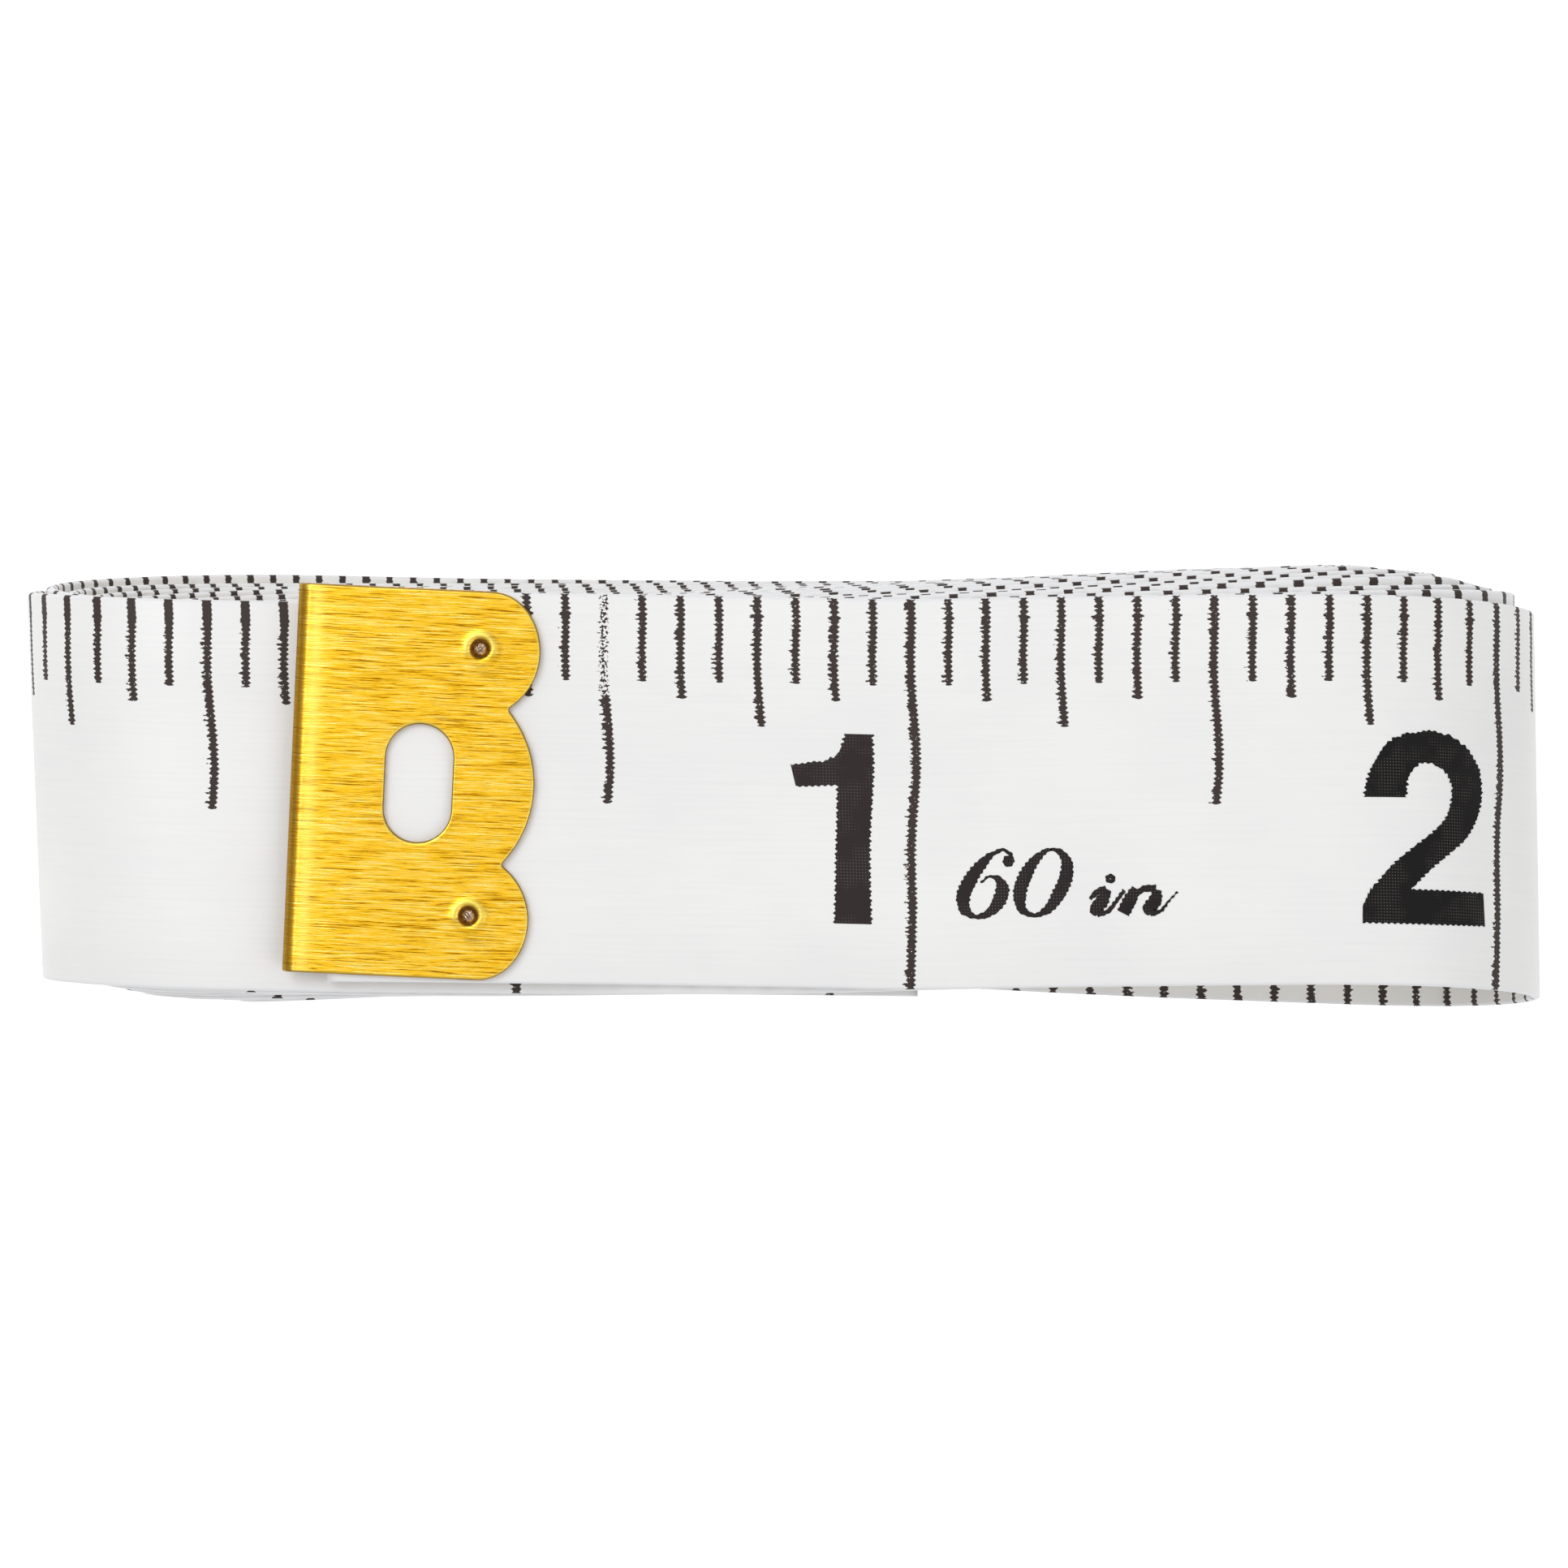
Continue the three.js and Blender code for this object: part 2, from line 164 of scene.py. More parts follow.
def makeStage(s):
    # a white floor that glows only where it is seen or mirrored, a white world that is dimmer
    # as a light than as a backdrop, and square lamps that face the roll
    half = s["floorHalf"]
    corners = [(-half, -half, 0), (half, -half, 0), (half, half, 0), (-half, half, 0)]
    mesh = bpy.data.meshes.new("floor")
    mesh.from_pydata(corners, [], [(0, 1, 2, 3)])
    floor = bpy.data.objects.new("floor", mesh)
    bpy.context.scene.collection.objects.link(floor)
    material, tree = newMaterial("white studio paper")
    path = addNode(tree, "ShaderNodeLightPath", {}, {})
    seen = addNode(tree, "ShaderNodeMath", {"operation": "MAXIMUM"},
                   {0: path.outputs["Is Camera Ray"], 1: path.outputs["Is Glossy Ray"]})
    seen = addNode(tree, "ShaderNodeMath", {"operation": "MAXIMUM"},
                   {0: seen, 1: path.outputs["Is Transmission Ray"]})
    glow = addNode(tree, "ShaderNodeMath", {"operation": "MULTIPLY"}, {0: seen, 1: s["floorGlow"]})
    paper = addNode(tree, "ShaderNodeBsdfDiffuse", {}, {"Color": linearColour(s["floorColour"])})
    light = addNode(tree, "ShaderNodeEmission", {}, {"Color": (1, 1, 1, 1), "Strength": glow})
    both = addNode(tree, "ShaderNodeAddShader", {}, {0: paper, 1: light})
    addNode(tree, "ShaderNodeOutputMaterial", {}, {"Surface": both})
    mesh.materials.append(material)

    world = bpy.data.worlds.new("studio")
    world.use_nodes = True
    tree = world.node_tree
    tree.nodes.clear()
    path = addNode(tree, "ShaderNodeLightPath", {}, {})
    seen = addNode(tree, "ShaderNodeMath", {"operation": "MAXIMUM"},
                   {0: path.outputs["Is Camera Ray"], 1: path.outputs["Is Transmission Ray"]})
    strength = addNode(tree, "ShaderNodeMapRange", {},
                       {"Value": seen, "To Min": s["worldStrength"], "To Max": 1.0})
    sky = addNode(tree, "ShaderNodeBackground", {}, {"Color": (1, 1, 1, 1), "Strength": strength})
    addNode(tree, "ShaderNodeOutputWorld", {}, {"Surface": sky})
    bpy.context.scene.world = world

    for name, place, size, watts in s["lamps"]:
        data = bpy.data.lights.new(name, "AREA")
        data.shape, data.size, data.energy = "SQUARE", size, watts
        lamp = bpy.data.objects.new(name, data)
        lamp.location = place
        lamp.rotation_euler = (-Vector(place)).to_track_quat("-Z", "Y").to_euler()
        bpy.context.scene.collection.objects.link(lamp)
    bpy.context.scene.view_settings.view_transform = "Standard"


makeStage(stageSettings)
print("floor and lamps placed")


# The wound ribbon. A loop starts at the left end of its top run and goes clockwise seen
# from -Y. As shares of a turn, its top run ends at 0.3, its right tip at 0.5, its bottom
# run at 0.8 and its left tip at 1. Lengths in millimetres.

rollShape = {
    "turns": 13,
    "recess": 0.224,  # tips draw in by this more a turn than the runs do
    "pitch": 0.59,  # from one run to the next
    "coreHalf": 0.565,  # half the thickness of the core
    "tip": 31.42,  # X of the outermost tip on each side
    "tipHeight": (0.06, 0.22),  # right and left, as shares of half the loop's thickness
    "cornerReach": (1.26, 1.0, 1.6, 0.94),  # top right, bottom right, bottom left, top left
    "outerEndX": -20.4, "innerEndX": 5.3,  # the folds of the two tabs
    "cutEndX": -19.3,  # the ribbon's outer end, inside its tab
    "tabLength": 10.1,
    "tabRoom": 0.86, "liftRamp": 6.0,  # from the run in the outer tab to the next, which it rises over
    "moveY": -7.8182, "moveZ": 8.02,  # from the roll's own axes to the frame
    "tableSteps": 60001, "searchSteps": 4001, "slopeStep": 1e-4,  # the last in turns
}

# How far the loops slip past each other sideways (shift and slip), and how far they lean for
# each mm of X (slope and lean)
slipShape = {
    "coreSlope": 0.046, "coreShift": 0.06, "coreTurns": 11,  # grows turn by turn, up to this turn
    "bottomSlope": 0.036, "bottomShift": 0.12, "bottomTurns": 6,  # bottom runs, less and less
    "topShift": 0.19,  # top runs, most just below the outermost
    "outerSlip": 0.66, "outerLean": 0.043, "outerLeanX": -18.0,  # the outermost bottom run
    "innerEndSlip": 1.17, "innerEndBend": 1.4,  # the ribbon's inner end, as a power of the way
    "outerEndSlip": 0.25, "outerSlipX": 5.0,  # grows from here to the outer tab
    "outerDip": (0.1, 5.2, 3.5),  # size, middle and reach
    "outerRise": (0.08, 8.0, 10.0),  # size, start and reach
    # how far each loop's top run lies farther over at the middle and towards the right
    "fanAt": (6.1, 21.2),
    "fanMiddle": (0, -0.358, -0.36, -0.249, -0.19, -0.161, -0.134, 0, 0.013, 0.067, 0.01, 0.02, 0.03),
    "fanRight": (0, -0.143, -0.04, 0.161, 0.155, 0.235, 0.38, 0.296, 0.346, 0.19, 0.138, 0.131, 0.094),
    "fanStart": (-40.0, 30.0),  # it sets in from this X, over this distance
    "fanFade": (0.5, 0.1),  # and fades at the tip over this distance a loop, and this at least
    "underRise": (0, 0, 0, 0.085, 0.18, 0.15, 0.1, 0),  # and how far each bottom run does
}

ribbonShape = {
    "width": 16.2, "thickness": 0.42,
    "outerHalf": 0.08, "innerHalf": 0.34,  # from the frame's middle to the outer and the inner face
    "tabHalf": 0.14,  # squeezed flat between a tab's leaves
    "tabFade": (0.5, 2.0),  # up to this far inside the tab's edge, and free this much farther on
    "edgeRound": 0.13, "edgeSteps": 5, "flatSteps": 6,  # points on a rounded edge and on a face
    "runSteps": 24, "tipSteps": 34,  # sections on a straight run and on a tip
    "shortest": 0.2,  # of the stretches at the ends
    "innerCode": 40, "endCode": 100,  # mark the inner face and the cut ends in the print's coordinates
    "scaleZero": -20.16,  # X of the scale's zero, under the fold of the outer tab
    "seamTurn": 0.46,  # where the outer stretch ends, low on the right tip
    # the loops wave in depth and at their edges: size, and mm for each radian, phase and share
    "waveDepth": 0.018, "waveRuns": (5.3, 2.9, 1.2, 1.0),
    "edgeWave": 0.035, "edgeRuns": (7.1, 3.3, 0.8, 0.6),
    "skew": (-0.0285, 0.00033),  # the loops lean over sideways, by this for each mm across
    "printSlip": ((0.0, -0.12), (25.4, -0.12), (33.0, 0.06), (60.0, 0.06), (125.0, 0.7), (150.0, 0.67),
                  (185.0, 0.855), (230.0, 0.7)),  # the printing roller's slip, in mm at a length
    "loopSlip": (0, 0, -0.44, -0.053, 0.057, 0.666, 0, -0.263, 0.004, 0.031, -0.12, -0.27, 0.2, 0.687, 0.08,
                 -0.527),  # and on each top and bottom run, from the first bottom run on
}


def stepAt(turn):
    # 0 on a top run, a half on the bottom run and 1 on the next top run, smooth between
    share = turn - np.floor(turn)
    return (smooth((share - 0.3) / 0.2) + smooth((share - 0.8) / 0.2)) / 2


def profileAt(turn):
    # X and Z of the ribbon's middle: straight runs joined by quarter ellipses at the tips
    r = rollShape
    share = turn - np.floor(turn)
    half = r["coreHalf"] + r["pitch"] * (r["turns"] - np.floor(turn) - stepAt(turn))
    draw = r["pitch"] + r["recess"]
    right, left = r["tip"] + draw * (0.4 - turn), r["tip"] + draw * (0.9 - turn)
    topRight, bottomRight = right - r["cornerReach"][0] * half, right - r["cornerReach"][1] * half
    bottomLeft, topLeft = left - r["cornerReach"][2] * half, left - r["cornerReach"][3] * half
    rightZ, leftZ = r["tipHeight"][0] * half, r["tipHeight"][1] * half
    starts = np.array([0, 0.3, 0.4, 0.5, 0.8, 0.9, 1.0])
    part = np.clip(np.searchsorted(starts, share, side="right") - 1, 0, 5)
    along = (share - starts[part]) / (starts[part + 1] - starts[part])
    sine, cosine = np.sin(along * math.pi / 2), np.cos(along * math.pi / 2)
    x = np.choose(part, [
        -topLeft + (topRight + topLeft) * along,
        topRight + (right - topRight) * sine,
        bottomRight + (right - bottomRight) * cosine,
        bottomRight - (bottomLeft + bottomRight) * along,
        -bottomLeft - (left - bottomLeft) * sine,
        -topLeft - (left - topLeft) * cosine,
    ])
    z = np.choose(part, [
        half,
        rightZ + (half - rightZ) * cosine,
        rightZ - (half + rightZ) * sine,
        -half,
        leftZ - (half + leftZ) * cosine,
        leftZ + (half - leftZ) * sine,
    ])
    outerShare = smooth((r["outerEndX"] + r["tabLength"] + r["liftRamp"] - x) / r["liftRamp"])
    z = z + np.where(turn < 0.3, (r["tabRoom"] - r["pitch"]) * outerShare, 0)
    innerShare = smooth((x - r["innerEndX"] + r["tabLength"] + r["liftRamp"]) / r["liftRamp"])
    return x, z + np.where(turn > r["turns"], (r["pitch"] / 4 - half) * innerShare, 0)


def turnAtX(loop, x):
    # the turn at which a loop's top run passes x
    turns = loop + np.linspace(0, 0.3, rollShape["searchSteps"])
    return float(np.interp(x, profileAt(turns)[0], turns))


firstTurn = turnAtX(0, rollShape["cutEndX"])
lastTurn = turnAtX(rollShape["turns"], rollShape["innerEndX"])
scaleTurn = turnAtX(0, 0.0)  # the scale is read from where X is 0
turnTable = np.linspace(firstTurn, lastTurn, rollShape["tableSteps"])
tableX, tableZ = profileAt(turnTable)
lengthTable = np.concatenate([[0], np.cumsum(np.hypot(np.diff(tableX), np.diff(tableZ)))])
lengthTable += -ribbonShape["scaleZero"] - np.interp(scaleTurn, turnTable, lengthTable)
print(f"ribbon: {lengthTable[-1] - lengthTable[0]:.1f} mm long in {lastTurn - firstTurn:.2f} turns")


def fanAt(turn, x):
    # a straight line over x for each loop, held on the left half, and fading towards the tips
    r, s = rollShape, slipShape
    loop = np.floor(turn) + stepAt(turn)
    loops = np.arange(len(s["fanMiddle"]))
    low, high = np.interp(loop, loops, s["fanMiddle"]), np.interp(loop, loops, s["fanRight"])
    middleX, rightX = s["fanAt"]
    rise = low + (high - low) * (np.maximum(x, 0) - middleX) / (rightX - middleX)
    startX, growth = s["fanStart"]
    fadeRate, leastFade = s["fanFade"]
    tipX = r["tip"] + (r["pitch"] + r["recess"]) * (0.4 - loop)
    return rise * smooth((x - startX) / growth) * smooth((tipX - x) / (fadeRate * loop + leastFade))


def edgeAt(turn, x):
    # Y of the near edge: loops lie a little more askew towards the core, top runs fan out,
    # and the bottom runs lean the other way
    turns, s = rollShape["turns"], slipShape
    under = 1 - np.abs(1 - 2 * stepAt(turn))
    inner = np.clip(smooth((turn - 0.5) / 0.5) * (1 - turn / turns), 0, None)
    core = np.clip(turn / s["coreTurns"], 0, 1) * (s["coreShift"] + s["coreSlope"] * x)
    outer = -s["outerSlip"] - s["outerLean"] * np.maximum(x, s["outerLeanX"])
    below = s["bottomShift"] * np.clip(3 - turn, 0, 1)
    below = below - s["bottomSlope"] * np.clip(1 - turn / s["bottomTurns"], 0, 1) * x
    below = below + np.interp(np.floor(turn), np.arange(len(s["underRise"])), s["underRise"])

    # the outermost top run dips, rises and slips by itself
    dip, dipX, dipReach = s["outerDip"]
    rise, riseX, riseReach = s["outerRise"]
    outermost = rise * smooth((x - riseX) / riseReach) - dip * np.exp(-((x - dipX) / dipReach) ** 2)
    endShare = smooth((s["outerSlipX"] - x) / (s["outerSlipX"] - rollShape["outerEndX"]))
    outermost = (outermost + s["outerEndSlip"] * endShare) * (1 - smooth((turn - 0.25) / 0.15))
    top = (1 - under) * (s["topShift"] * inner + fanAt(turn, x))
    edge = top + core + under * np.where(turn < 1, outer, below)
    innerShare = np.clip((turn - turns) / (lastTurn - turns), 0, 1)
    return edge - s["innerEndSlip"] * innerShare ** s["innerEndBend"] + outermost


def printSlip(length):
    # how far the print runs ahead of the ribbon's own length
    at, slip = zip(*ribbonShape["printSlip"])
    turn = np.interp(length, lengthTable, turnTable)
    loops = 0.5 + np.arange(len(ribbonShape["loopSlip"])) / 2
    onLoop = np.interp(np.floor(turn) + stepAt(turn), loops, ribbonShape["loopSlip"])
    return np.interp(length, at, slip) + onLoop


def tabShare(length):
    # 1 where the ribbon lies between a tab's leaves, fading to 0 past the tab's edge
    inside, fade = ribbonShape["tabFade"]
    fromStart, fromEnd = length - lengthTable[0], lengthTable[-1] - length
    nearest = np.minimum(fromStart, fromEnd)
    return 1 - smooth((nearest - rollShape["tabLength"] + inside) / fade)


def faceAt(length, across, depth):
    # a point of the ribbon: length along it, across from the near edge, and depth in from
    # the outer face as a share of its thickness, or beyond 0 and 1 off its faces
    s = ribbonShape
    turn = np.interp(length, lengthTable, turnTable)
    x, z = profileAt(turn)
    step = rollShape["slopeStep"]
    before, after = profileAt(turn - step), profileAt(turn + step)
    tangentX, tangentZ = after[0] - before[0], after[1] - before[1]
    size = np.hypot(tangentX, tangentZ)
    inX, inZ = tangentZ / size, -tangentX / size
    squeezed = tabShare(length)
    outer = s["outerHalf"] + (s["tabHalf"] - s["outerHalf"]) * squeezed
    inner = s["innerHalf"] + (s["tabHalf"] - s["innerHalf"]) * squeezed
    free = (1 - squeezed) * smooth((turn - 0.5) / 0.3)
    slow, quick, phase, share = s["waveRuns"]
    wave = free * s["waveDepth"] * (1 + np.sin(length / slow + phase) + share * np.sin(length / quick))
    offset = -outer + (outer + inner) * depth + wave
    slow, quick, phase, share = s["edgeRuns"]
    ragged = s["edgeWave"] * (np.sin(length / slow + phase) + share * np.sin(length / quick)) * (1 - squeezed)
    y = edgeAt(turn, x) + across + ragged
    leaning = (s["skew"][0] + s["skew"][1] * x) * (across - s["width"] / 2)
    x, z = x + leaning + inX * offset, z + inZ * offset
    return np.stack([x, y + rollShape["moveY"], z + rollShape["moveZ"]], -1)


def ribbonSection():
    # one cross-section as across and depth, in turn on the outer face, the far edge, the
    # inner face and the near edge; the edges are half ellipses
    width, rounding, steps = ribbonShape["width"], ribbonShape["edgeRound"], ribbonShape["flatSteps"]
    flat = np.linspace(rounding, width - rounding, steps)
    angles = np.linspace(0, math.pi, ribbonShape["edgeSteps"] + 2)[1:-1]
    bulge, drop = rounding * np.sin(angles), (1 - np.cos(angles)) / 2
    across = np.concatenate([flat, width - rounding + bulge, flat[::-1], rounding - bulge])
    depth = np.concatenate([np.zeros(steps), drop, np.ones(steps), 1 - drop])
    return across, depth


def makeRibbon(name, first, last, material):
    # the section carried along the ribbon from one length to another, with closed ends
    s = ribbonShape
    across, depth = ribbonSection()
    columns = len(across)
    run, tip = s["runSteps"], s["tipSteps"]
    parts = ((0, 0.3, run), (0.3, 0.5, tip), (0.5, 0.8, run), (0.8, 1.0, tip))
    turns = [np.linspace(loop + a, loop + b, steps, endpoint=False)
             for loop in range(rollShape["turns"] + 2) for a, b, steps in parts]
    lengths = np.interp(np.concatenate(turns), turnTable, lengthTable)
    inside = lengths[(lengths > first + s["shortest"]) & (lengths < last - s["shortest"])]
    lengths = np.unique(np.concatenate([[first, last], inside]))
    rows = len(lengths)
    lengthGrid = np.repeat(lengths[:, None], columns, 1)
    points = faceAt(lengthGrid, across[None, :] + 0 * lengthGrid, depth[None, :] + 0 * lengthGrid)
    faces = gridFaces(rows, columns, closedColumns=True)[:, ::-1]
    # print coordinates: length along the print, and across it plus a code for the face; the
    # inner face begins and ends at the middles of the two edges
    i, j = np.divmod(faces, columns)
    band = np.tile(np.arange(columns), rows - 1)[:, None]
    farMiddle, nearMiddle = s["flatSteps"] + s["edgeSteps"] // 2, columns - 1 - s["edgeSteps"] // 2
    printed = lengths + printSlip(lengths)
    onInner = (band >= farMiddle) & (band < nearMiddle)
    uv = [np.stack([printed[i], across[j] + s["innerCode"] * onInner], -1)]
    caps = [np.arange(columns), (rows - 1) * columns + np.arange(columns)[::-1]]
    for cap, length in zip(caps, (first, last)):
        uv.append(np.stack([np.full(columns, length), across[cap % columns] + s["endCode"]], -1))
    uv = np.concatenate([corners.reshape(-1, 2) for corners in uv])
    smoothFaces = np.arange(len(faces) + len(caps)) < len(faces)
    faceLists = faces.tolist() + [cap.tolist() for cap in caps]
    return makePiece(name, points.reshape(-1, 3), faceLists, material, uv, smoothFaces)


# Vinyl-coated glass cloth: a white, slightly glossy skin through which the weave just
# shows, printed with black ink that creeps along the threads and leaves pinholes

clothLook = {
    # rim and inner are a little greyer: painted shade for the edges seen between the loops, and at the rims
    # the coat's own greyer edge too
    "white": "#f1f1f0", "cloudy": "#e4e4e6", "rim": "#eeeef1", "inner": "#f0eee8", "cutEnd": "#cdcac4",
    "ink": "#3d3431", "thinInk": "#7a6a60",
    "rough": 0.44, "inkRough": 0.52,
    "gloss": 0.5, "inkGloss": 0.2,
    "thread": 0.26,  # spacing of the threads
    "bump": 0.12, "bumpDepth": 0.000008,  # strength, and metres
    "rimFrom": 7.84, "rimTo": 8.08, "rimShare": 0.9,  # off the ribbon's middle
    "inchTicks": ((inch / 16, 0.2, 3.6), (inch / 8, 0.2, 4.3), (inch / 4, 0.205, 5.4), (inch / 2, 0.21, 8.7),
                  (inch, 0.225, 30.0)),  # spacing, half breadth and length
    "millimetreTicks": ((1.0, 0.15, 3.1), (5.0, 0.16, 4.3), (10.0, 0.17, 5.8)),
    "softness": 0.022,  # of a tick's sides
    "grain": 6.5,  # grains of the ink's ragged edge in a millimetre
    "ragged": 0.12, "tooth": (0.2, 1.05),  # how far they reach, and period and share of its teeth
    "bleed": (6.5, 2.2, 0.13),  # bleeding along single threads: grains in a mm across and along, and reach
    "creep": (0.86, 0.10, 0.14),  # ink creeps along one weft thread: place, breadth and reach
    "evenFrom": 62.0, "calm": 0.3,  # from this length on, the raggedness left at the far edge
    "calmEdge": (0.7, 1.5),  # it grows back between these distances from that edge
    "bow": (0.07, 7.0, 4.75),  # the ticks bow sideways this far, with this period, about here
    "lean": (7.5, 14.0, 0.38),  # the inch lines lean to the left between these places, this far
    "loopEnd": (58.0, 70.0), "begin": (0.02, -0.3),  # where the print starts before and after these lengths
    "wearAndPaintedLight": (12.7, 4.2, 0.3),  # a tick that the ink took badly: place, length of that part, and how badly
    "pinhole": 0.79,  # the ink missed a thread where the fine noise is above this
    "margin": 0.01,  # no ink this close to the rims
}


def clothPlace(tree):
    # read from the print's own coordinates: length along it, across from the near edge, in
    # from the far edge, off the middle, and 1 on the inner face and on the cut ends, which
    # the codes set far apart
    s = ribbonShape
    uv = addNode(tree, "ShaderNodeUVMap", {"uv_map": "print"}, {})
    parts = addNode(tree, "ShaderNodeSeparateXYZ", {}, {"Vector": uv})
    length, code = parts.outputs["X"], parts.outputs["Y"]
    cutEnd = addNode(tree, "ShaderNodeMath", {"operation": "GREATER_THAN"}, {0: code, 1: s["endCode"] - 10})
    innerSide = addNode(tree, "ShaderNodeMath", {"operation": "COMPARE"},
                        {0: code, 1: s["innerCode"] + 8, 2: 15})
    across = addNode(tree, "ShaderNodeMath", {"operation": "MULTIPLY_ADD"},
                     {0: innerSide, 1: -s["innerCode"], 2: code})
    fromFar = addNode(tree, "ShaderNodeMath", {"operation": "SUBTRACT"}, {0: s["width"], 1: across})
    offMiddle = addNode(tree, "ShaderNodeMath", {"operation": "SUBTRACT"}, {0: across, 1: s["width"] / 2})
    offMiddle = addNode(tree, "ShaderNodeMath", {"operation": "ABSOLUTE"}, {0: offMiddle})
    return uv, length, across, fromFar, offMiddle, innerSide, cutEnd


def inkEdges(tree, s, uv, length, fromFar):
    # how far a tick's right and left sides fall short: noise, plus teeth where the ink meets
    # the weft threads, less a creep along one thread, less a bleed on the left; the wound
    # loops took the ink evenly along their far edge
    grain = addNode(tree, "ShaderNodeTexNoise", {"noise_dimensions": "2D"},
                    {"Vector": uv, "Scale": s["grain"], "Detail": 2.0, "Roughness": 0.6})
    rough = addNode(tree, "ShaderNodeMath", {"operation": "MULTIPLY_ADD"},
                    {0: grain, 1: s["ragged"], 2: -0.5 * s["ragged"]})
    period, toothShare = s["tooth"]
    tooth = addNode(tree, "ShaderNodeMath", {"operation": "PINGPONG"}, {0: fromFar, 1: period / 2})
    right = addNode(tree, "ShaderNodeMath", {"operation": "MULTIPLY_ADD"},
                    {0: tooth, 1: toothShare, 2: rough})

    place, breadth, reach = s["creep"]
    aside = addNode(tree, "ShaderNodeMath", {"operation": "SUBTRACT"}, {0: fromFar, 1: place})
    aside = addNode(tree, "ShaderNodeMath", {"operation": "ABSOLUTE"}, {0: aside})
    creep = addNode(tree, "ShaderNodeMapRange", {},
                    {"Value": aside, "From Max": breadth, "To Min": reach, "To Max": 0.0})
    patchy = addNode(tree, "ShaderNodeTexNoise", {"noise_dimensions": "1D"},
                     {"W": length, "Scale": 0.7, "Detail": 1.0})
    patchy = addNode(tree, "ShaderNodeMapRange", {}, {"Value": patchy, "From Min": 0.42, "From Max": 0.6})
    creep = addNode(tree, "ShaderNodeMath", {"operation": "MULTIPLY"}, {0: creep, 1: patchy})
    right = addNode(tree, "ShaderNodeMath", {"operation": "SUBTRACT"}, {0: right, 1: creep})

    acrossGrains, alongGrains, reach = s["bleed"]
    threads = addNode(tree, "ShaderNodeMapping", {},
                      {"Vector": uv, "Scale": (alongGrains, acrossGrains, 1.0)})
    bleed = addNode(tree, "ShaderNodeTexNoise", {"noise_dimensions": "2D"},
                    {"Vector": threads, "Scale": 1.0, "Detail": 1.0})
    bleed = addNode(tree, "ShaderNodeMapRange", {},
                    {"Value": bleed, "From Min": 0.54, "From Max": 0.7, "To Max": reach})
    left = addNode(tree, "ShaderNodeMath", {"operation": "SUBTRACT"}, {0: right, 1: bleed})

    outermost = addNode(tree, "ShaderNodeMath", {"operation": "LESS_THAN"}, {0: length, 1: s["evenFrom"]})
    calmStart, calmEnd = s["calmEdge"]
    calm = addNode(tree, "ShaderNodeMapRange", {},
                   {"Value": fromFar, "From Min": calmStart, "From Max": calmEnd, "To Min": s["calm"]})
    calm = addNode(tree, "ShaderNodeMath", {"operation": "MAXIMUM"}, {0: calm, 1: outermost})
    right = addNode(tree, "ShaderNodeMath", {"operation": "MULTIPLY"}, {0: right, 1: calm})
    left = addNode(tree, "ShaderNodeMath", {"operation": "MULTIPLY"}, {0: left, 1: calm})
    return rough, right, left, calm


def bentLength(tree, s, length, fromFar):
    # the length, less a sine of the distance from the far edge that bows the ticks, plus a
    # lean that grows towards the near edge
    size, wave, middle = s["bow"]
    phase = addNode(tree, "ShaderNodeMath", {"operation": "MULTIPLY_ADD"},
                    {0: fromFar, 1: 2 * math.pi / wave, 2: -2 * math.pi * middle / wave})
    bow = addNode(tree, "ShaderNodeMath", {"operation": "SINE"}, {0: phase})
    bowSize = addNode(tree, "ShaderNodeMapRange", {}, {"Value": fromFar, "From Max": 2.0, "To Max": size})
    bow = addNode(tree, "ShaderNodeMath", {"operation": "MULTIPLY"}, {0: bow, 1: bowSize})
    bowed = addNode(tree, "ShaderNodeMath", {"operation": "SUBTRACT"}, {0: length, 1: bow})
    leanStart, leanEnd, reach = s["lean"]
    lean = addNode(tree, "ShaderNodeMapRange", {},
                   {"Value": fromFar, "From Min": leanStart, "From Max": leanEnd, "To Max": reach})
    return addNode(tree, "ShaderNodeMath", {"operation": "ADD"}, {0: bowed, 1: lean})


def tickInk(tree, s, ticks, along, depth, edges):
    # the darkest of the ticks here: 1 within half its breadth, over its length, with a
    # rounded end
    shortRight, shortLeft = edges
    darkest = 0.0
    for spacing, half, tickLength in ticks:
        side = addNode(tree, "ShaderNodeMath", {"operation": "WRAP"},
                       {0: along, 1: spacing / 2, 2: -spacing / 2})
        right = addNode(tree, "ShaderNodeMath", {"operation": "ADD"}, {0: side, 1: shortRight})
        left = addNode(tree, "ShaderNodeMath", {"operation": "SUBTRACT"}, {0: shortLeft, 1: side})
        uneven = addNode(tree, "ShaderNodeMath", {"operation": "MAXIMUM"}, {0: right, 1: left})
        near = addNode(tree, "ShaderNodeMapRange", {},
                       {"Value": uneven, "From Min": half - s["softness"], "From Max": half + s["softness"],
                        "To Min": 1.0, "To Max": 0.0})
        rounded = addNode(tree, "ShaderNodeMath", {"operation": "MULTIPLY_ADD"},
                          {0: uneven, 1: uneven, 2: depth})
        within = addNode(tree, "ShaderNodeMath", {"operation": "LESS_THAN"}, {0: rounded, 1: tickLength})
        tick = addNode(tree, "ShaderNodeMath", {"operation": "MULTIPLY"}, {0: near, 1: within})
        darkest = addNode(tree, "ShaderNodeMath", {"operation": "MAXIMUM"}, {0: tick, 1: darkest})
    return darkest


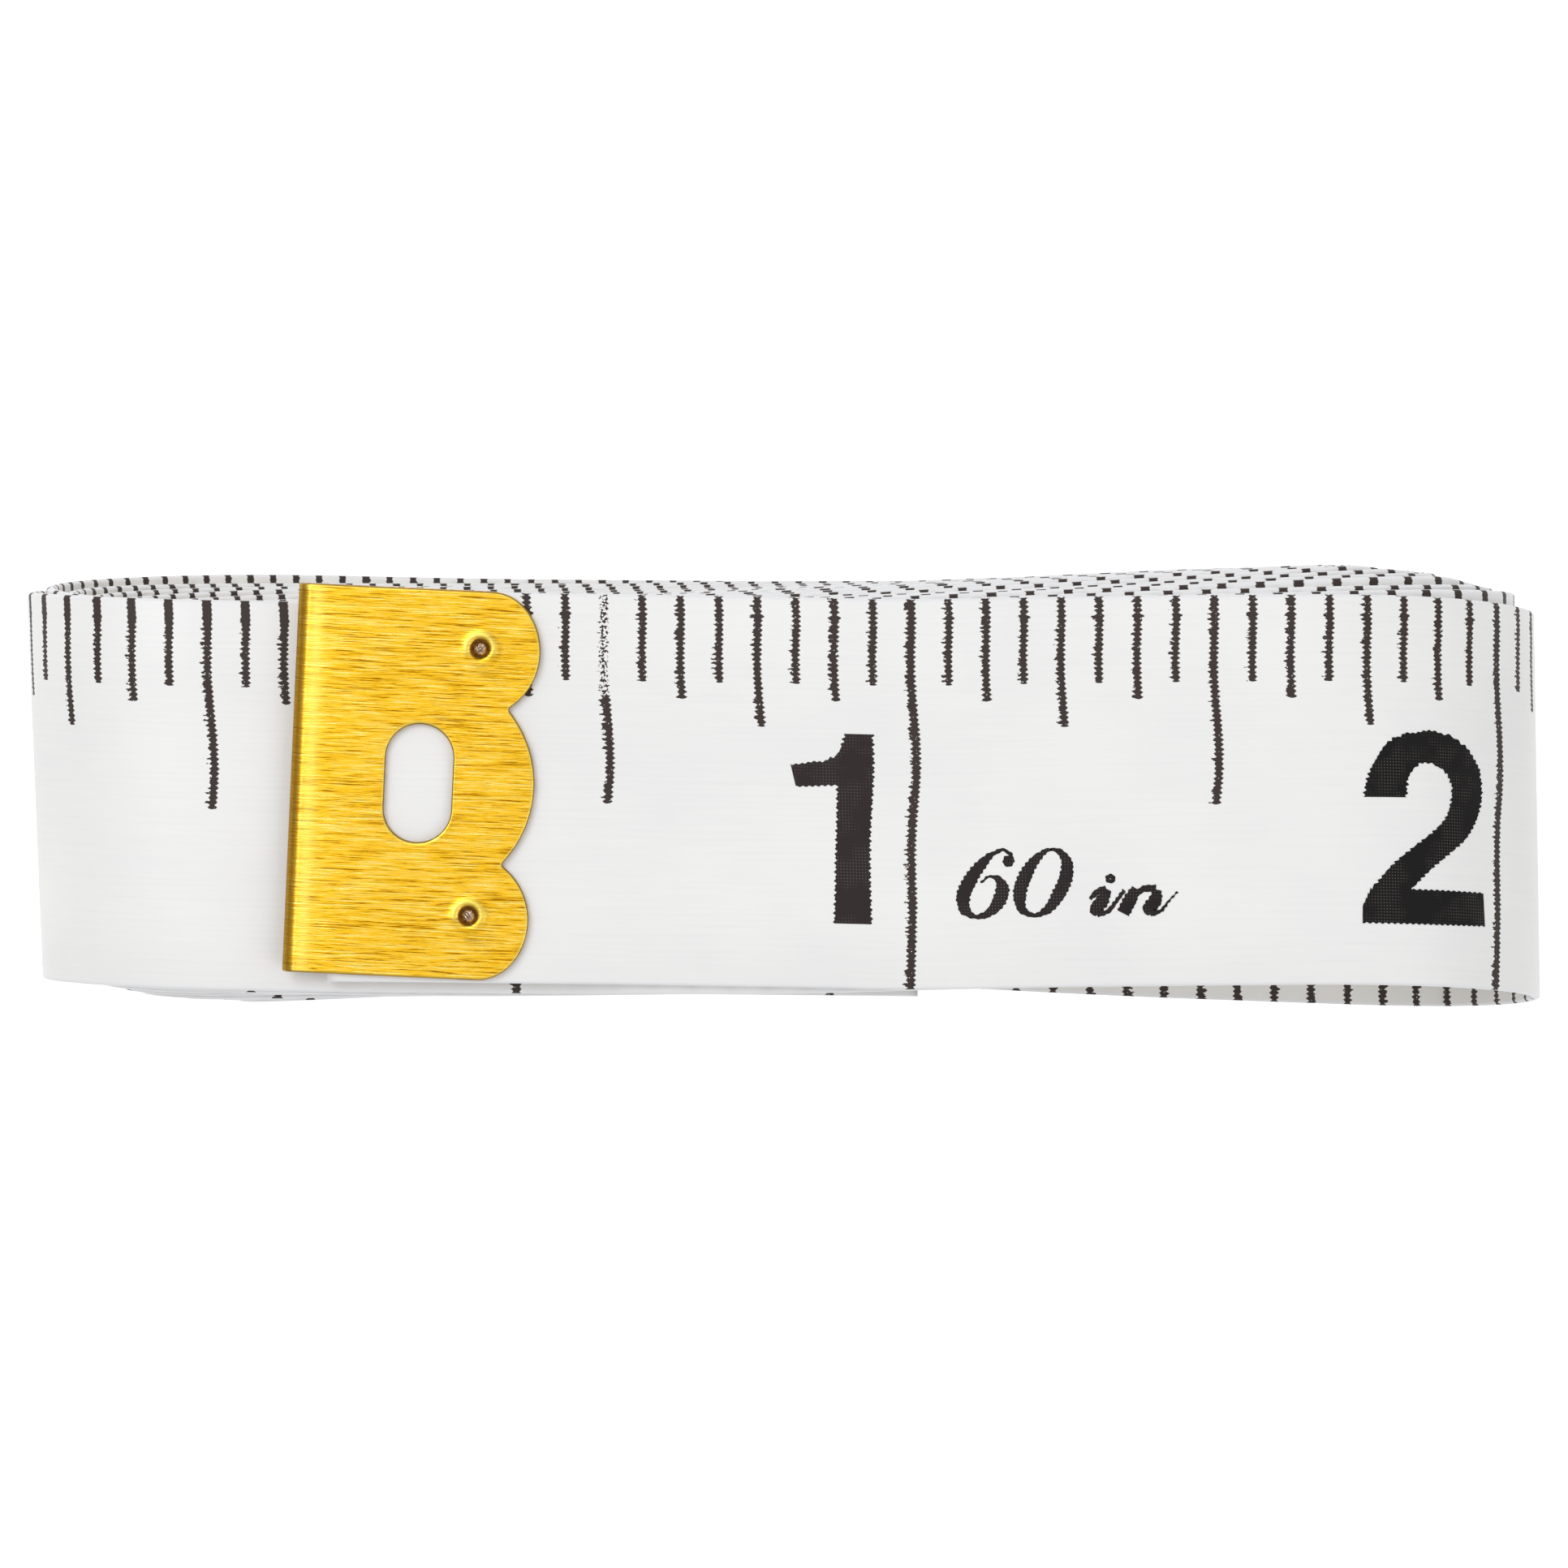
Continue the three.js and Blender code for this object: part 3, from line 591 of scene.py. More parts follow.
def makeCloth(s):
    # the coat's colour where there is no ink, and the ink's where a tick, its edges and its
    # pinholes leave some: base times (1 - share) plus colour times share, one after the other
    material, tree = newMaterial("vinyl coated glass cloth")
    uv, length, across, fromFar, offMiddle, innerSide, cutEnd = clothPlace(tree)
    rough, shortRight, shortLeft, calm = inkEdges(tree, s, uv, length, fromFar)
    edges = (shortRight, shortLeft)

    # inch ticks on the outer face, starting a little way in on the outermost loop; inch
    # and millimetre ticks on the inner face; no ink on the thickness of the cloth
    loopEnd, nextLoop = s["loopEnd"]
    begin, nextBegin = s["begin"]
    begin = addNode(tree, "ShaderNodeMapRange", {},
                    {"Value": length, "From Min": loopEnd, "From Max": nextLoop,
                     "To Min": begin, "To Max": nextBegin})
    begin = addNode(tree, "ShaderNodeMath", {"operation": "ADD"}, {0: begin, 1: rough})
    begun = addNode(tree, "ShaderNodeMath", {"operation": "GREATER_THAN"}, {0: fromFar, 1: begin})
    outerInk = tickInk(tree, s, s["inchTicks"], bentLength(tree, s, length, fromFar), fromFar, edges)
    outerInk = addNode(tree, "ShaderNodeMath", {"operation": "MULTIPLY"}, {0: outerInk, 1: begun})
    innerInches = tickInk(tree, s, s["inchTicks"][:4], length, across, edges)
    innerMillimetres = tickInk(tree, s, s["millimetreTicks"], length, fromFar, edges)
    innerInk = addNode(tree, "ShaderNodeMath", {"operation": "MAXIMUM"},
                       {0: innerInches, 1: innerMillimetres})
    ink = addNode(tree, "ShaderNodeMix", {"data_type": "FLOAT"}, {0: innerSide, 2: outerInk, 3: innerInk})
    faceHalf = ribbonShape["width"] / 2 - s["margin"]
    onFace = addNode(tree, "ShaderNodeMath", {"operation": "LESS_THAN"}, {0: offMiddle, 1: faceHalf})
    printed = addNode(tree, "ShaderNodeMath", {"operation": "SUBTRACT"}, {0: onFace, 1: cutEnd})
    ink = addNode(tree, "ShaderNodeMath", {"operation": "MULTIPLY"}, {0: ink.outputs[0], 1: printed})

    # pinholes where the ink missed a thread, thick on one worn tick
    place, wornLength, badly = s["wearAndPaintedLight"]
    fine = addNode(tree, "ShaderNodeTexNoise", {"noise_dimensions": "2D"},
                   {"Vector": uv, "Scale": 9.0, "Detail": 1.0})
    fine = addNode(tree, "ShaderNodeMath", {"operation": "MULTIPLY"}, {0: fine, 1: calm})
    aside = addNode(tree, "ShaderNodeMath", {"operation": "SUBTRACT"}, {0: length, 1: place})
    aside = addNode(tree, "ShaderNodeMath", {"operation": "ABSOLUTE"}, {0: aside})
    wornTick = addNode(tree, "ShaderNodeMapRange", {},
                       {"Value": aside, "From Min": 0.4, "From Max": 0.8, "To Min": badly, "To Max": 0.0})
    wornPart = addNode(tree, "ShaderNodeMath", {"operation": "LESS_THAN"}, {0: fromFar, 1: wornLength})
    wearAndPaintedLight = addNode(tree, "ShaderNodeMath", {"operation": "MULTIPLY_ADD"}, {0: wornTick, 1: wornPart, 2: fine})
    solid = addNode(tree, "ShaderNodeMath", {"operation": "LESS_THAN"}, {0: wearAndPaintedLight, 1: s["pinhole"]})
    ink = addNode(tree, "ShaderNodeMath", {"operation": "MULTIPLY"}, {0: ink, 1: solid})
    deep = addNode(tree, "ShaderNodeMath", {"operation": "MULTIPLY"}, {0: ink, 1: ink})

    # the white coat: cloudy in patches and in faint streaks along the ribbon, greyer at
    # its rims, partly of itself and partly as painted shade, and on its inner side as painted shade for the
    # edges seen between the loops
    patches = addNode(tree, "ShaderNodeTexNoise", {"noise_dimensions": "2D"},
                      {"Vector": uv, "Scale": 0.16, "Detail": 3.0})
    streaked = addNode(tree, "ShaderNodeMapping", {}, {"Vector": uv, "Scale": (0.2, 6.0, 1.0)})
    streaks = addNode(tree, "ShaderNodeTexNoise", {"noise_dimensions": "2D"},
                      {"Vector": streaked, "Scale": 1.0, "Detail": 3.0})
    mixed = addNode(tree, "ShaderNodeMath", {"operation": "MULTIPLY_ADD"}, {0: streaks, 1: 0.6, 2: patches})
    cloudShare = addNode(tree, "ShaderNodeMapRange", {},
                         {"Value": mixed, "From Min": 0.6, "From Max": 1.1, "To Max": 0.35})
    base = addNode(tree, "ShaderNodeMix", {"data_type": "RGBA"},
                   {"Factor": cloudShare, "A": linearColour(s["white"]), "B": linearColour(s["cloudy"])})
    # greyer near the rims, partly painted shade
    rim = addNode(tree, "ShaderNodeMapRange", {},
                  {"Value": offMiddle, "From Min": s["rimFrom"], "From Max": s["rimTo"],
                   "To Max": s["rimShare"]})
    layers = ((innerSide, "inner"), (rim, "rim"), (cutEnd, "cutEnd"), (ink, "thinInk"), (deep, "ink"))
    for share, colour in layers:
        base = addNode(tree, "ShaderNodeMix", {"data_type": "RGBA"},
                       {"Factor": share, "A": base.outputs["Result"], "B": linearColour(s[colour])})
    roughness = addNode(tree, "ShaderNodeMapRange", {},
                        {"Value": ink, "To Min": s["rough"], "To Max": s["inkRough"]})
    gloss = addNode(tree, "ShaderNodeMapRange", {},
                    {"Value": ink, "To Min": s["gloss"], "To Max": s["inkGloss"]})

    # the weft threads just show through the coat as a sine, with the streaks on top
    weft = addNode(tree, "ShaderNodeMath", {"operation": "MULTIPLY"},
                   {0: across, 1: 2 * math.pi / s["thread"]})
    weft = addNode(tree, "ShaderNodeMath", {"operation": "SINE"}, {0: weft})
    weave = addNode(tree, "ShaderNodeMath", {"operation": "MULTIPLY_ADD"}, {0: streaks, 1: 2.0, 2: weft})
    bump = addNode(tree, "ShaderNodeBump", {},
                   {"Strength": s["bump"], "Distance": s["bumpDepth"], "Height": weave})
    skin = addNode(tree, "ShaderNodeBsdfPrincipled", {},
                   {"Base Color": base.outputs["Result"], "Roughness": roughness, "Specular IOR Level": gloss,
                    "Normal": bump})
    addNode(tree, "ShaderNodeOutputMaterial", {}, {"Surface": skin})
    return material


cloth = makeCloth(clothLook)
seamLength = float(np.interp(ribbonShape["seamTurn"], turnTable, lengthTable))
outerStretch = makeRibbon("ribbon_outer_stretch", float(lengthTable[0]), seamLength, cloth)
woundStretch = makeRibbon("ribbon_wound", seamLength, float(lengthTable[-1]), cloth)
print("ribbon made")


# Printed numerals, in millimetres from the numeral's lower left corner, 8 mm high. A band
# is the ink between two lines; a stroke is a line of points with a half width at each.

bands = {
    "1": [([(1.58, 0.05), (1.66, 1.5), (1.72, 2.89), (1.8, 4.3), (1.86, 5.75), (1.95, 6.6), (2.08, 7.39),
            (2.24, 7.93)],
           [(3.14, 0.05), (3.13, 1.61), (3.15, 2.89), (3.2, 3.97), (3.35, 5.78), (3.4, 6.6), (3.4, 7.39),
            (3.39, 7.93)]),
          ([(-0.05, 6.63), (0.7, 6.68), (1.28, 6.79), (1.7, 6.93), (1.95, 7.15), (2.15, 7.55)],
           [(0.14, 5.73), (0.8, 5.76), (1.28, 5.78), (1.7, 5.79), (1.95, 5.79), (2.3, 5.8)])],
    "2": [([(0.08, 5.23), (0.24, 6.0), (0.58, 6.72), (1.34, 7.65), (2.91, 8.04), (4.29, 7.78),
            (5.36, 6.89), (5.64, 5.76), (5.45, 4.74), (4.82, 3.73), (3.89, 2.97), (3.06, 2.34),
            (2.03, 1.4)],
           [(1.94, 5.25), (1.98, 5.75), (2.07, 6.14), (2.46, 6.59), (3.0, 6.67), (3.67, 6.45),
            (4.03, 5.92), (4.02, 5.2), (3.73, 4.46), (3.09, 3.84), (2.15, 3.15), (1.24, 2.42),
            (0.47, 1.57)]),
          ([(-0.07, 0.0), (0.5, 0.01), (1.4, 0.02), (2.2, 0.03), (3.8, 0.05), (5.69, 0.08)],
           [(-0.05, 0.72), (0.47, 1.57), (1.4, 1.62), (2.2, 1.41), (3.8, 1.42), (5.63, 1.43)])],
}

strokes = {
    "3": [([(0.85, 5.5), (1.1, 6.7), (2.8, 7.32), (4.4, 6.75), (4.6, 5.4), (3.6, 4.4), (2.3, 4.2)],
           [0.8, 0.76, 0.68, 0.74, 0.76, 0.7, 0.62]),
          ([(2.3, 4.2), (3.9, 4.1), (5.0, 3.1), (4.95, 1.8), (4.1, 0.9), (2.8, 0.68), (1.2, 1.2),
            (0.8, 2.5)],
           [0.62, 0.7, 0.78, 0.8, 0.76, 0.68, 0.76, 0.8])],
    "4": [([(4.1, 0), (4.1, 4), (4.1, 8)], [0.75, 0.75, 0.75]),
          ([(3.9, 7.5), (2.3, 5.1), (0.75, 2.5)], [0.62, 0.68, 0.7]),
          ([(0.1, 2.2), (3.0, 2.2), (5.8, 2.2)], [0.62, 0.62, 0.62])],
    "5": [([(1.0, 7.32), (3.0, 7.32), (5.2, 7.32)], [0.68, 0.68, 0.68]),
          ([(1.7, 7.9), (1.5, 6.0), (1.3, 4.2)], [0.68, 0.68, 0.68]),
          ([(1.1, 4.3), (2.0, 4.95), (3.3, 5.1), (4.7, 4.3), (5.05, 2.9), (4.6, 1.4), (3.2, 0.68),
            (1.6, 0.9), (0.8, 2.2)],
           [0.5, 0.6, 0.66, 0.76, 0.8, 0.78, 0.68, 0.74, 0.8])],
    "6": [([(4.9, 6.0), (4.3, 7.0), (3.0, 7.33), (1.6, 6.6), (0.9, 4.9), (0.8, 3.3), (1.05, 1.7),
            (1.9, 0.85), (3.0, 0.68), (4.4, 1.2), (5.05, 2.6), (4.6, 4.1), (3.2, 4.7), (1.9, 4.3),
            (1.2, 3.4)],
           [0.8, 0.74, 0.68, 0.76, 0.8, 0.8, 0.8, 0.74, 0.68, 0.76, 0.8, 0.76, 0.62, 0.6, 0.5])],
    "7": [([(0.2, 7.32), (3.0, 7.32), (5.7, 7.32)], [0.68, 0.68, 0.68]),
          ([(4.95, 7.5), (3.6, 5.0), (2.7, 2.6), (2.2, 0)], [0.76, 0.78, 0.8, 0.8])],
    "60 in": [
        ([(2.28, 2.34), (2.29, 2.35)], [0.24, 0.24]),
        ([(2.42, 2.36), (2.36, 2.62), (2.12, 2.78), (1.7, 2.68), (1.17, 2.23), (0.65, 1.54), (0.36, 0.86),
          (0.45, 0.31), (0.82, 0.06), (1.41, 0.2), (1.85, 0.7), (1.99, 1.27), (1.8, 1.62), (1.47, 1.7),
          (1.1, 1.45)],
         [0.1, 0.08, 0.06, 0.09, 0.22, 0.29, 0.29, 0.22, 0.07, 0.17, 0.29, 0.28, 0.12, 0.06, 0.04]),
        ([(4.0, 2.78), (4.35, 2.72), (4.66, 2.35), (4.66, 1.7), (4.32, 0.93), (3.77, 0.24), (3.3, 0.06),
          (2.82, 0.28), (2.71, 0.93), (2.98, 1.75), (3.46, 2.43), (3.88, 2.74), (4.1, 2.79)],
         [0.06, 0.1, 0.22, 0.28, 0.28, 0.17, 0.07, 0.17, 0.28, 0.28, 0.18, 0.08, 0.06]),
        ([(6.48, 1.54), (6.49, 1.55)], [0.21, 0.21]),
        ([(5.62, 0.7), (5.9, 0.98), (6.3, 1.14)], [0.07, 0.13, 0.12]),
        ([(6.36, 1.1), (6.12, 0.62), (5.88, 0.22), (5.95, 0.06)], [0.17, 0.28, 0.28, 0.13]),
        ([(5.9, 0.07), (6.3, 0.16), (6.7, 0.6), (7.05, 1.06)], [0.1, 0.1, 0.08, 0.08]),
        ([(7.55, 1.12), (7.28, 0.66), (6.98, 0.1)], [0.2, 0.28, 0.27]),
        ([(7.1, 0.35), (7.5, 0.88), (8.0, 1.12), (8.36, 1.08)], [0.09, 0.12, 0.14, 0.18]),
        ([(8.42, 1.06), (8.32, 0.62), (8.06, 0.22), (8.14, 0.06)], [0.18, 0.28, 0.27, 0.13]),
        ([(8.1, 0.06), (8.5, 0.16), (8.9, 0.6), (9.26, 0.97)], [0.1, 0.08, 0.04, 0.03]),
    ],
}

inkSettings = {
    "lift": 0.012,  # above the cloth
    "layer": 0.0012,  # and each part of a numeral above the one before
    "step": 0.04,  # between two sections of a stroke
    "leastSteps": 9, "columns": 9,
    "dotSteps": 25, "dotRings": 5, "dotMiddle": 0.02,
    "scallop": 0.19, "scallopDepth": 0.085,  # the ink's edge follows the threads
    "fullBreadth": 0.5, "leastShare": 0.4,  # less so on thin strokes
    "noise": (23.1, 17.3, 0.35),  # radians a mm along and up, and share of the scallops
}


def lineThrough(points, count):
    # a smooth line through the points, in even steps: cubic pieces over the length, which
    # share their slopes
    knots = np.concatenate([[0], np.cumsum(np.hypot(*np.diff(points, axis=0).T))])
    at = np.linspace(0, knots[-1], count)
    slopes = np.gradient(points, knots, axis=0)
    k = np.clip(np.searchsorted(knots, at, side="right") - 1, 0, len(knots) - 2)
    span = (knots[k + 1] - knots[k])[:, None]
    t = (at - knots[k])[:, None] / span
    return ((2 * t ** 3 - 3 * t ** 2 + 1) * points[k] + (t ** 3 - 2 * t ** 2 + t) * span * slopes[k]
            + (3 * t ** 2 - 2 * t ** 3) * points[k + 1] + (t ** 3 - t ** 2) * span * slopes[k + 1]), at, knots


def bandGrid(first, second):
    # the ink between two lines: each row runs straight from one line to the other
    first, second = np.array(first, float), np.array(second, float)
    reach = np.hypot(*np.diff(first, axis=0).T).sum()
    count = max(inkSettings["leastSteps"], int(reach / inkSettings["step"]))
    steps = np.linspace(0, len(first) - 1, count)
    k = np.clip(steps.astype(int), 0, len(first) - 2)
    share = (steps - k)[:, None]

    def along(points):
        # cubic pieces between the points, each sloped by the points before and after it
        padded = np.concatenate([2 * points[:1] - points[1:2], points, 2 * points[-1:] - points[-2:-1]])
        a, b, c, d = padded[k], padded[k + 1], padded[k + 2], padded[k + 3]
        curve = 2 * b + (c - a) * share + (2 * a - 5 * b + 4 * c - d) * share ** 2
        return (curve + (3 * b - a - 3 * c + d) * share ** 3) / 2

    side = np.linspace(1, 0, inkSettings["columns"])[None, :, None]
    return along(first)[:, None] * side + along(second)[:, None] * (1 - side)


def strokeGrid(points, halves):
    # a stroke reaches half its width to both sides of its line; two points make a dot
    s = inkSettings
    points, halves = np.array(points, float), np.array(halves, float)
    if len(points) > 2:
        reach = np.hypot(*np.diff(points, axis=0).T).sum()
        line, at, knots = lineThrough(points, max(s["leastSteps"], int(reach / s["step"])))
        direction = np.gradient(line, at, axis=0)
        direction /= np.hypot(*direction.T)[:, None]
        normal = np.stack([-direction[:, 1], direction[:, 0]], -1)
        breadth = np.interp(at, knots, halves)[:, None] * np.linspace(1, -1, s["columns"])[None]
        return line[:, None] + normal[:, None] * breadth[..., None]
    angles, rings = np.linspace(0, 2 * math.pi, s["dotSteps"]), np.linspace(s["dotMiddle"], 1, s["dotRings"])
    angle, ring = np.meshgrid(angles, rings, indexing="ij")
    return points[0] + halves[0] * ring[..., None] * np.stack([np.cos(angle), np.sin(angle)], -1)


def raggedGrid(grid, seed):
    # the ink's edges bulge and shrink with the threads: a squared sine of the height
    s = inkSettings
    outward = grid - grid.mean(1, keepdims=True)
    breadth = np.maximum(np.linalg.norm(outward, axis=-1, keepdims=True), 1e-6)
    share = np.clip(breadth.max(1, keepdims=True) / s["fullBreadth"], s["leastShare"], 1)
    depth = s["scallopDepth"] * share
    wave = np.sin(grid[..., 1:2] * math.pi / s["scallop"] + seed) ** 2
    alongRate, upRate, noiseShare = s["noise"]
    noise = np.sin(grid[..., :1] * alongRate + grid[..., 1:2] * upRate + seed * 3)
    edge = np.abs(np.linspace(-1, 1, grid.shape[1]))[None, :, None] ** 4
    return grid + outward / breadth * edge * depth * (wave - 0.5 + noiseShare * noise)


def makePrint(name, marks, material):
    # every mark is (text, length at its left, across at its foot); its grids lie on the
    # cloth's outer face, each turned face up
    allPoints, allFaces, allUv, count = [], [], [], 0
    for number, (text, left, foot) in enumerate(marks):
        grids = [bandGrid(*band) for band in bands.get(text, [])]
        grids += [strokeGrid(*stroke) for stroke in strokes.get(text, [])]
        for k, grid in enumerate(grids):
            grid = raggedGrid(grid, number + 0.7 * k)
            lift = (inkSettings["lift"] + inkSettings["layer"] * k) / ribbonShape["thickness"]
            length, across = left + grid[..., 0], foot + grid[..., 1]
            placed = faceAt(length, across, -lift).reshape(-1, 3)
            faces = gridFaces(*grid.shape[:2])
            flat = grid.reshape(-1, 2)
            a, b, c = flat[faces[len(faces) // 2, :3]]
            if (b - a)[0] * (c - b)[1] < (b - a)[1] * (c - b)[0]:  # clockwise
                faces = faces[:, ::-1]
            uvPoint = np.stack([length, across], -1).reshape(-1, 2)
            allPoints.append(placed)
            allFaces.append(faces + count)
            allUv.append(uvPoint[faces].reshape(-1, 2))
            count += len(placed)
    faces = np.concatenate(allFaces).tolist()
    return makePiece(name, np.concatenate(allPoints), faces, material, np.concatenate(allUv))


# Black printing ink: nearly matt, thinner and greyer on the first numeral, and in patches
# full of pinholes where the threads cross

inkLook = {
    "thin": "#2c2325", "ink": "#0a0707", "pinhole": "#6d6662",
    "from": 23.0, "to": 45.0,  # the ink grows thicker between these lengths
    "thread": 0.18,  # from one slanting thread to the next
    "rough": 0.5, "gloss": 0.2,
    "bump": 0.3, "bumpDepth": 0.00001,  # strength, and metres
}


def makeInk(s):
    # sin(a (x + y)) sin(a (x - y)) peaks where slanting threads cross: pinholes open there,
    # in the worn patches
    material, tree = newMaterial("black printing ink")
    uv = addNode(tree, "ShaderNodeUVMap", {"uv_map": "print"}, {})
    parts = addNode(tree, "ShaderNodeSeparateXYZ", {}, {"Vector": uv})
    length, across = parts.outputs["X"], parts.outputs["Y"]
    rate = 2 * math.pi / s["thread"] / math.sqrt(2)
    waves = []
    for operation in ("ADD", "SUBTRACT"):
        sloping = addNode(tree, "ShaderNodeMath", {"operation": operation}, {0: length, 1: across})
        sloping = addNode(tree, "ShaderNodeMath", {"operation": "MULTIPLY"}, {0: sloping, 1: rate})
        waves.append(addNode(tree, "ShaderNodeMath", {"operation": "SINE"}, {0: sloping}))
    threads = addNode(tree, "ShaderNodeMath", {"operation": "MULTIPLY"}, {0: waves[0], 1: waves[1]})
    crossing = addNode(tree, "ShaderNodeMath", {"operation": "GREATER_THAN"}, {0: threads, 1: 0.66})
    patches = addNode(tree, "ShaderNodeTexNoise", {"noise_dimensions": "2D"},
                      {"Vector": uv, "Scale": 0.7, "Detail": 3.0})
    wearAndPaintedLight = addNode(tree, "ShaderNodeMapRange", {},
                   {"Value": patches, "From Min": 0.44, "From Max": 0.6, "To Max": 0.6})
    holes = addNode(tree, "ShaderNodeMath", {"operation": "MULTIPLY"}, {0: crossing, 1: wearAndPaintedLight})
    thick = addNode(tree, "ShaderNodeMapRange", {},
                    {"Value": length, "From Min": s["from"], "From Max": s["to"]})
    base = addNode(tree, "ShaderNodeMix", {"data_type": "RGBA"},
                   {"Factor": thick, "A": linearColour(s["thin"]), "B": linearColour(s["ink"])})
    base = addNode(tree, "ShaderNodeMix", {"data_type": "RGBA"},
                   {"Factor": holes, "A": base.outputs["Result"], "B": linearColour(s["pinhole"])})
    bump = addNode(tree, "ShaderNodeBump", {},
                   {"Strength": s["bump"], "Distance": s["bumpDepth"], "Height": threads})
    skin = addNode(tree, "ShaderNodeBsdfPrincipled", {},
                   {"Base Color": base.outputs["Result"], "Roughness": s["rough"],
                    "Specular IOR Level": s["gloss"], "Normal": bump})
    addNode(tree, "ShaderNodeOutputMaterial", {}, {"Surface": skin})
    return material


# Where the print stands: along the ribbon, and up from its near edge
printPlaces = {
    "one": (20.41, 2.65), "unit": (27.01, 2.95), "two": (44.0, 2.58),
    "foot": 2.58, "ahead": 6.5,  # a later numeral's foot, and how far it starts before its inch line
}


def makeNumerals(s, material):
    # the first stands on the free end, the second past the hinge, where the ribbon stays,
    # and the third to the seventh on the wound rest
    later = []
    for number in range(3, 8):
        start = inch * number - s["ahead"]
        later.append((str(number), start - float(printSlip(start)), s["foot"]))
    first = makePrint("print_free_end", [("1", *s["one"]), ("60 in", *s["unit"])], material)
    second = makePrint("print_bend", [("2", *s["two"])], material)
    return first, second, makePrint("print_wound", later, material)


outerPrint, bendPrint, woundPrint = makeNumerals(printPlaces, makeInk(inkLook))
print("numerals printed")


# The brass tabs: one sheet folded round the end of the ribbon, with three round lobes, a
# round-ended window and two prongs pierced through from the top leaf. Millimetres.

tabShape = {
    "length": 10.1, "width": 16.1,
    "half": 0.48, "inside": 0.18,  # from the ribbon's middle plane to a leaf's outer and inner skin
    "notches": (6.46, 1.25),  # between the two notches that part the lobes, and their depth
    "corner": (2.05, 2.5),  # the two free corners are quarter ellipses
    "window": (5.3, 1.4, 1.05),  # from the fold, half width, half its straight length
    "middleLoop": (1.3, 7.3, 0.86),  # a loop half way out to the edge, in X and as a share of Y
    "middleEdge": (8.4, 0.15, 9.0),  # it follows the edge up to this X, then bulges, this fast
    "prongs": ((7.6, -5.4), (7.6, 5.67)),
    "pit": (0.43, 0.25, 0.2),  # radius, depth and slope of a pierced dimple
    "rim": (0.58, 0.15, 0.055),  # radius, breadth and height of its raised rim
    "rimLow": (0.6, 0.5),  # which loses this share towards -Y, over this distance
    "torn": (0.05, 31, 27, 0.3, 0.15),  # height and rates of the torn bottom, its radius and fade
    "point": (0.1, 0.12),  # height and reach of the prong's broken root
    "clinch": (0.06, 0.4),  # height and reach of the bump over a clinched point
    "warp": (2.2, 0.5),  # reach and strength with which the grid crowds round a prong
    "edgeRound": 0.07,
    "brushDepth": 0.2,  # share of Z in the brush's lines
    "foldDroop": (0.34, 0.85),  # the leaf slopes down to the fold: share of its height, and reach
    "sideSteps": 60, "cornerSteps": 34, "lobeSteps": 30, "foldLineSteps": 70, "foldSteps": 26,
    "piercedRings": (44, 30), "plainRings": (12, 8),  # inside and outside the middle loop
    "weld": 0.000002, "crease": 60,  # metres, and degrees
}

# Where shade and highlights are painted on the sheet, and where its pits have whitish flecks
tabMarks = {
    "cutEdgeShade": 1.0, "roundingShade": 0.8,  # painted shade on a cut edge and on its rounding
    "rimHighlight": -0.7,  # painted highlight beside it; less than 0 means a painted highlight
    "foldShade": (0.75, 0.34, 0.12),  # painted shade at the fold: share, X and fade
    "foldHighlight": (0.5, 0.8, 0.3),  # painted highlight beside the fold: share, X and reach
    "pitShade": (0.48, 0.1),  # painted shade in a pit: radius and fade
    "shadowStreak": (0.5, 0.25, -1.0, 0.45, 0.09),  # painted shadow streak towards -Y of a pit: share, place beside a prong, and reach
    "pitRimHighlight": (0.9, 0.58, 0.12),  # painted highlight on a pit's rim: share, radius and reach
    "highlightFade": (0.5, 0.1),  # the rim's painted highlight fades towards -Y over this distance, and has begun by this share
    "bare": (0.24, 0.1, 41, 37),  # whitish grey flecks in a pit: radius, fade and rates
}


def leafOutline():
    # the free edge from the fold's lower end round the lobes to its upper end: an arc for
    # each lobe, a quarter ellipse for each free corner, the notches slightly rounded
    t = tabShape
    half = t["width"] / 2
    spacing, depth = t["notches"]
    cornerX, sideY = t["length"] - t["corner"][0], half - t["corner"][1]
    chord = sideY - spacing / 2
    sideRadius, middleRadius = [(c ** 2 + depth ** 2) / (2 * depth) for c in (chord, spacing / 2)]
    quarter = np.linspace(-math.pi / 2, 0, t["cornerSteps"], endpoint=False)
    sweep = np.linspace(0, math.asin(chord / sideRadius), t["lobeSteps"], endpoint=False)
    middle = np.linspace(-math.asin(spacing / 2 / middleRadius), 0, t["lobeSteps"], endpoint=False)
    x = [np.linspace(t["half"], cornerX, t["sideSteps"], endpoint=False),
         cornerX + t["corner"][0] * np.cos(quarter),
         t["length"] - sideRadius * (1 - np.cos(sweep)), t["length"] - middleRadius * (1 - np.cos(middle))]
    y = [np.full(t["sideSteps"], -half), -sideY + t["corner"][1] * np.sin(quarter),
         -sideY + sideRadius * np.sin(sweep), middleRadius * np.sin(middle)]
    lower = np.stack([np.concatenate(x), np.concatenate(y)], -1)
    loop = np.concatenate([lower, [[t["length"], 0]], lower[::-1] * [1, -1]])
    for _ in range(2):
        loop[1:-1] = loop[1:-1] / 2 + (loop[:-2] + loop[2:]) / 4
    return loop


def normals(loop, closed):
    # outward for a loop that runs counter-clockwise
    along = np.roll(loop, -1, 0) - np.roll(loop, 1, 0) if closed else np.gradient(loop, axis=0)
    along /= np.hypot(*along.T)[:, None]
    return np.stack([along[:, 1], -along[:, 0]], -1)


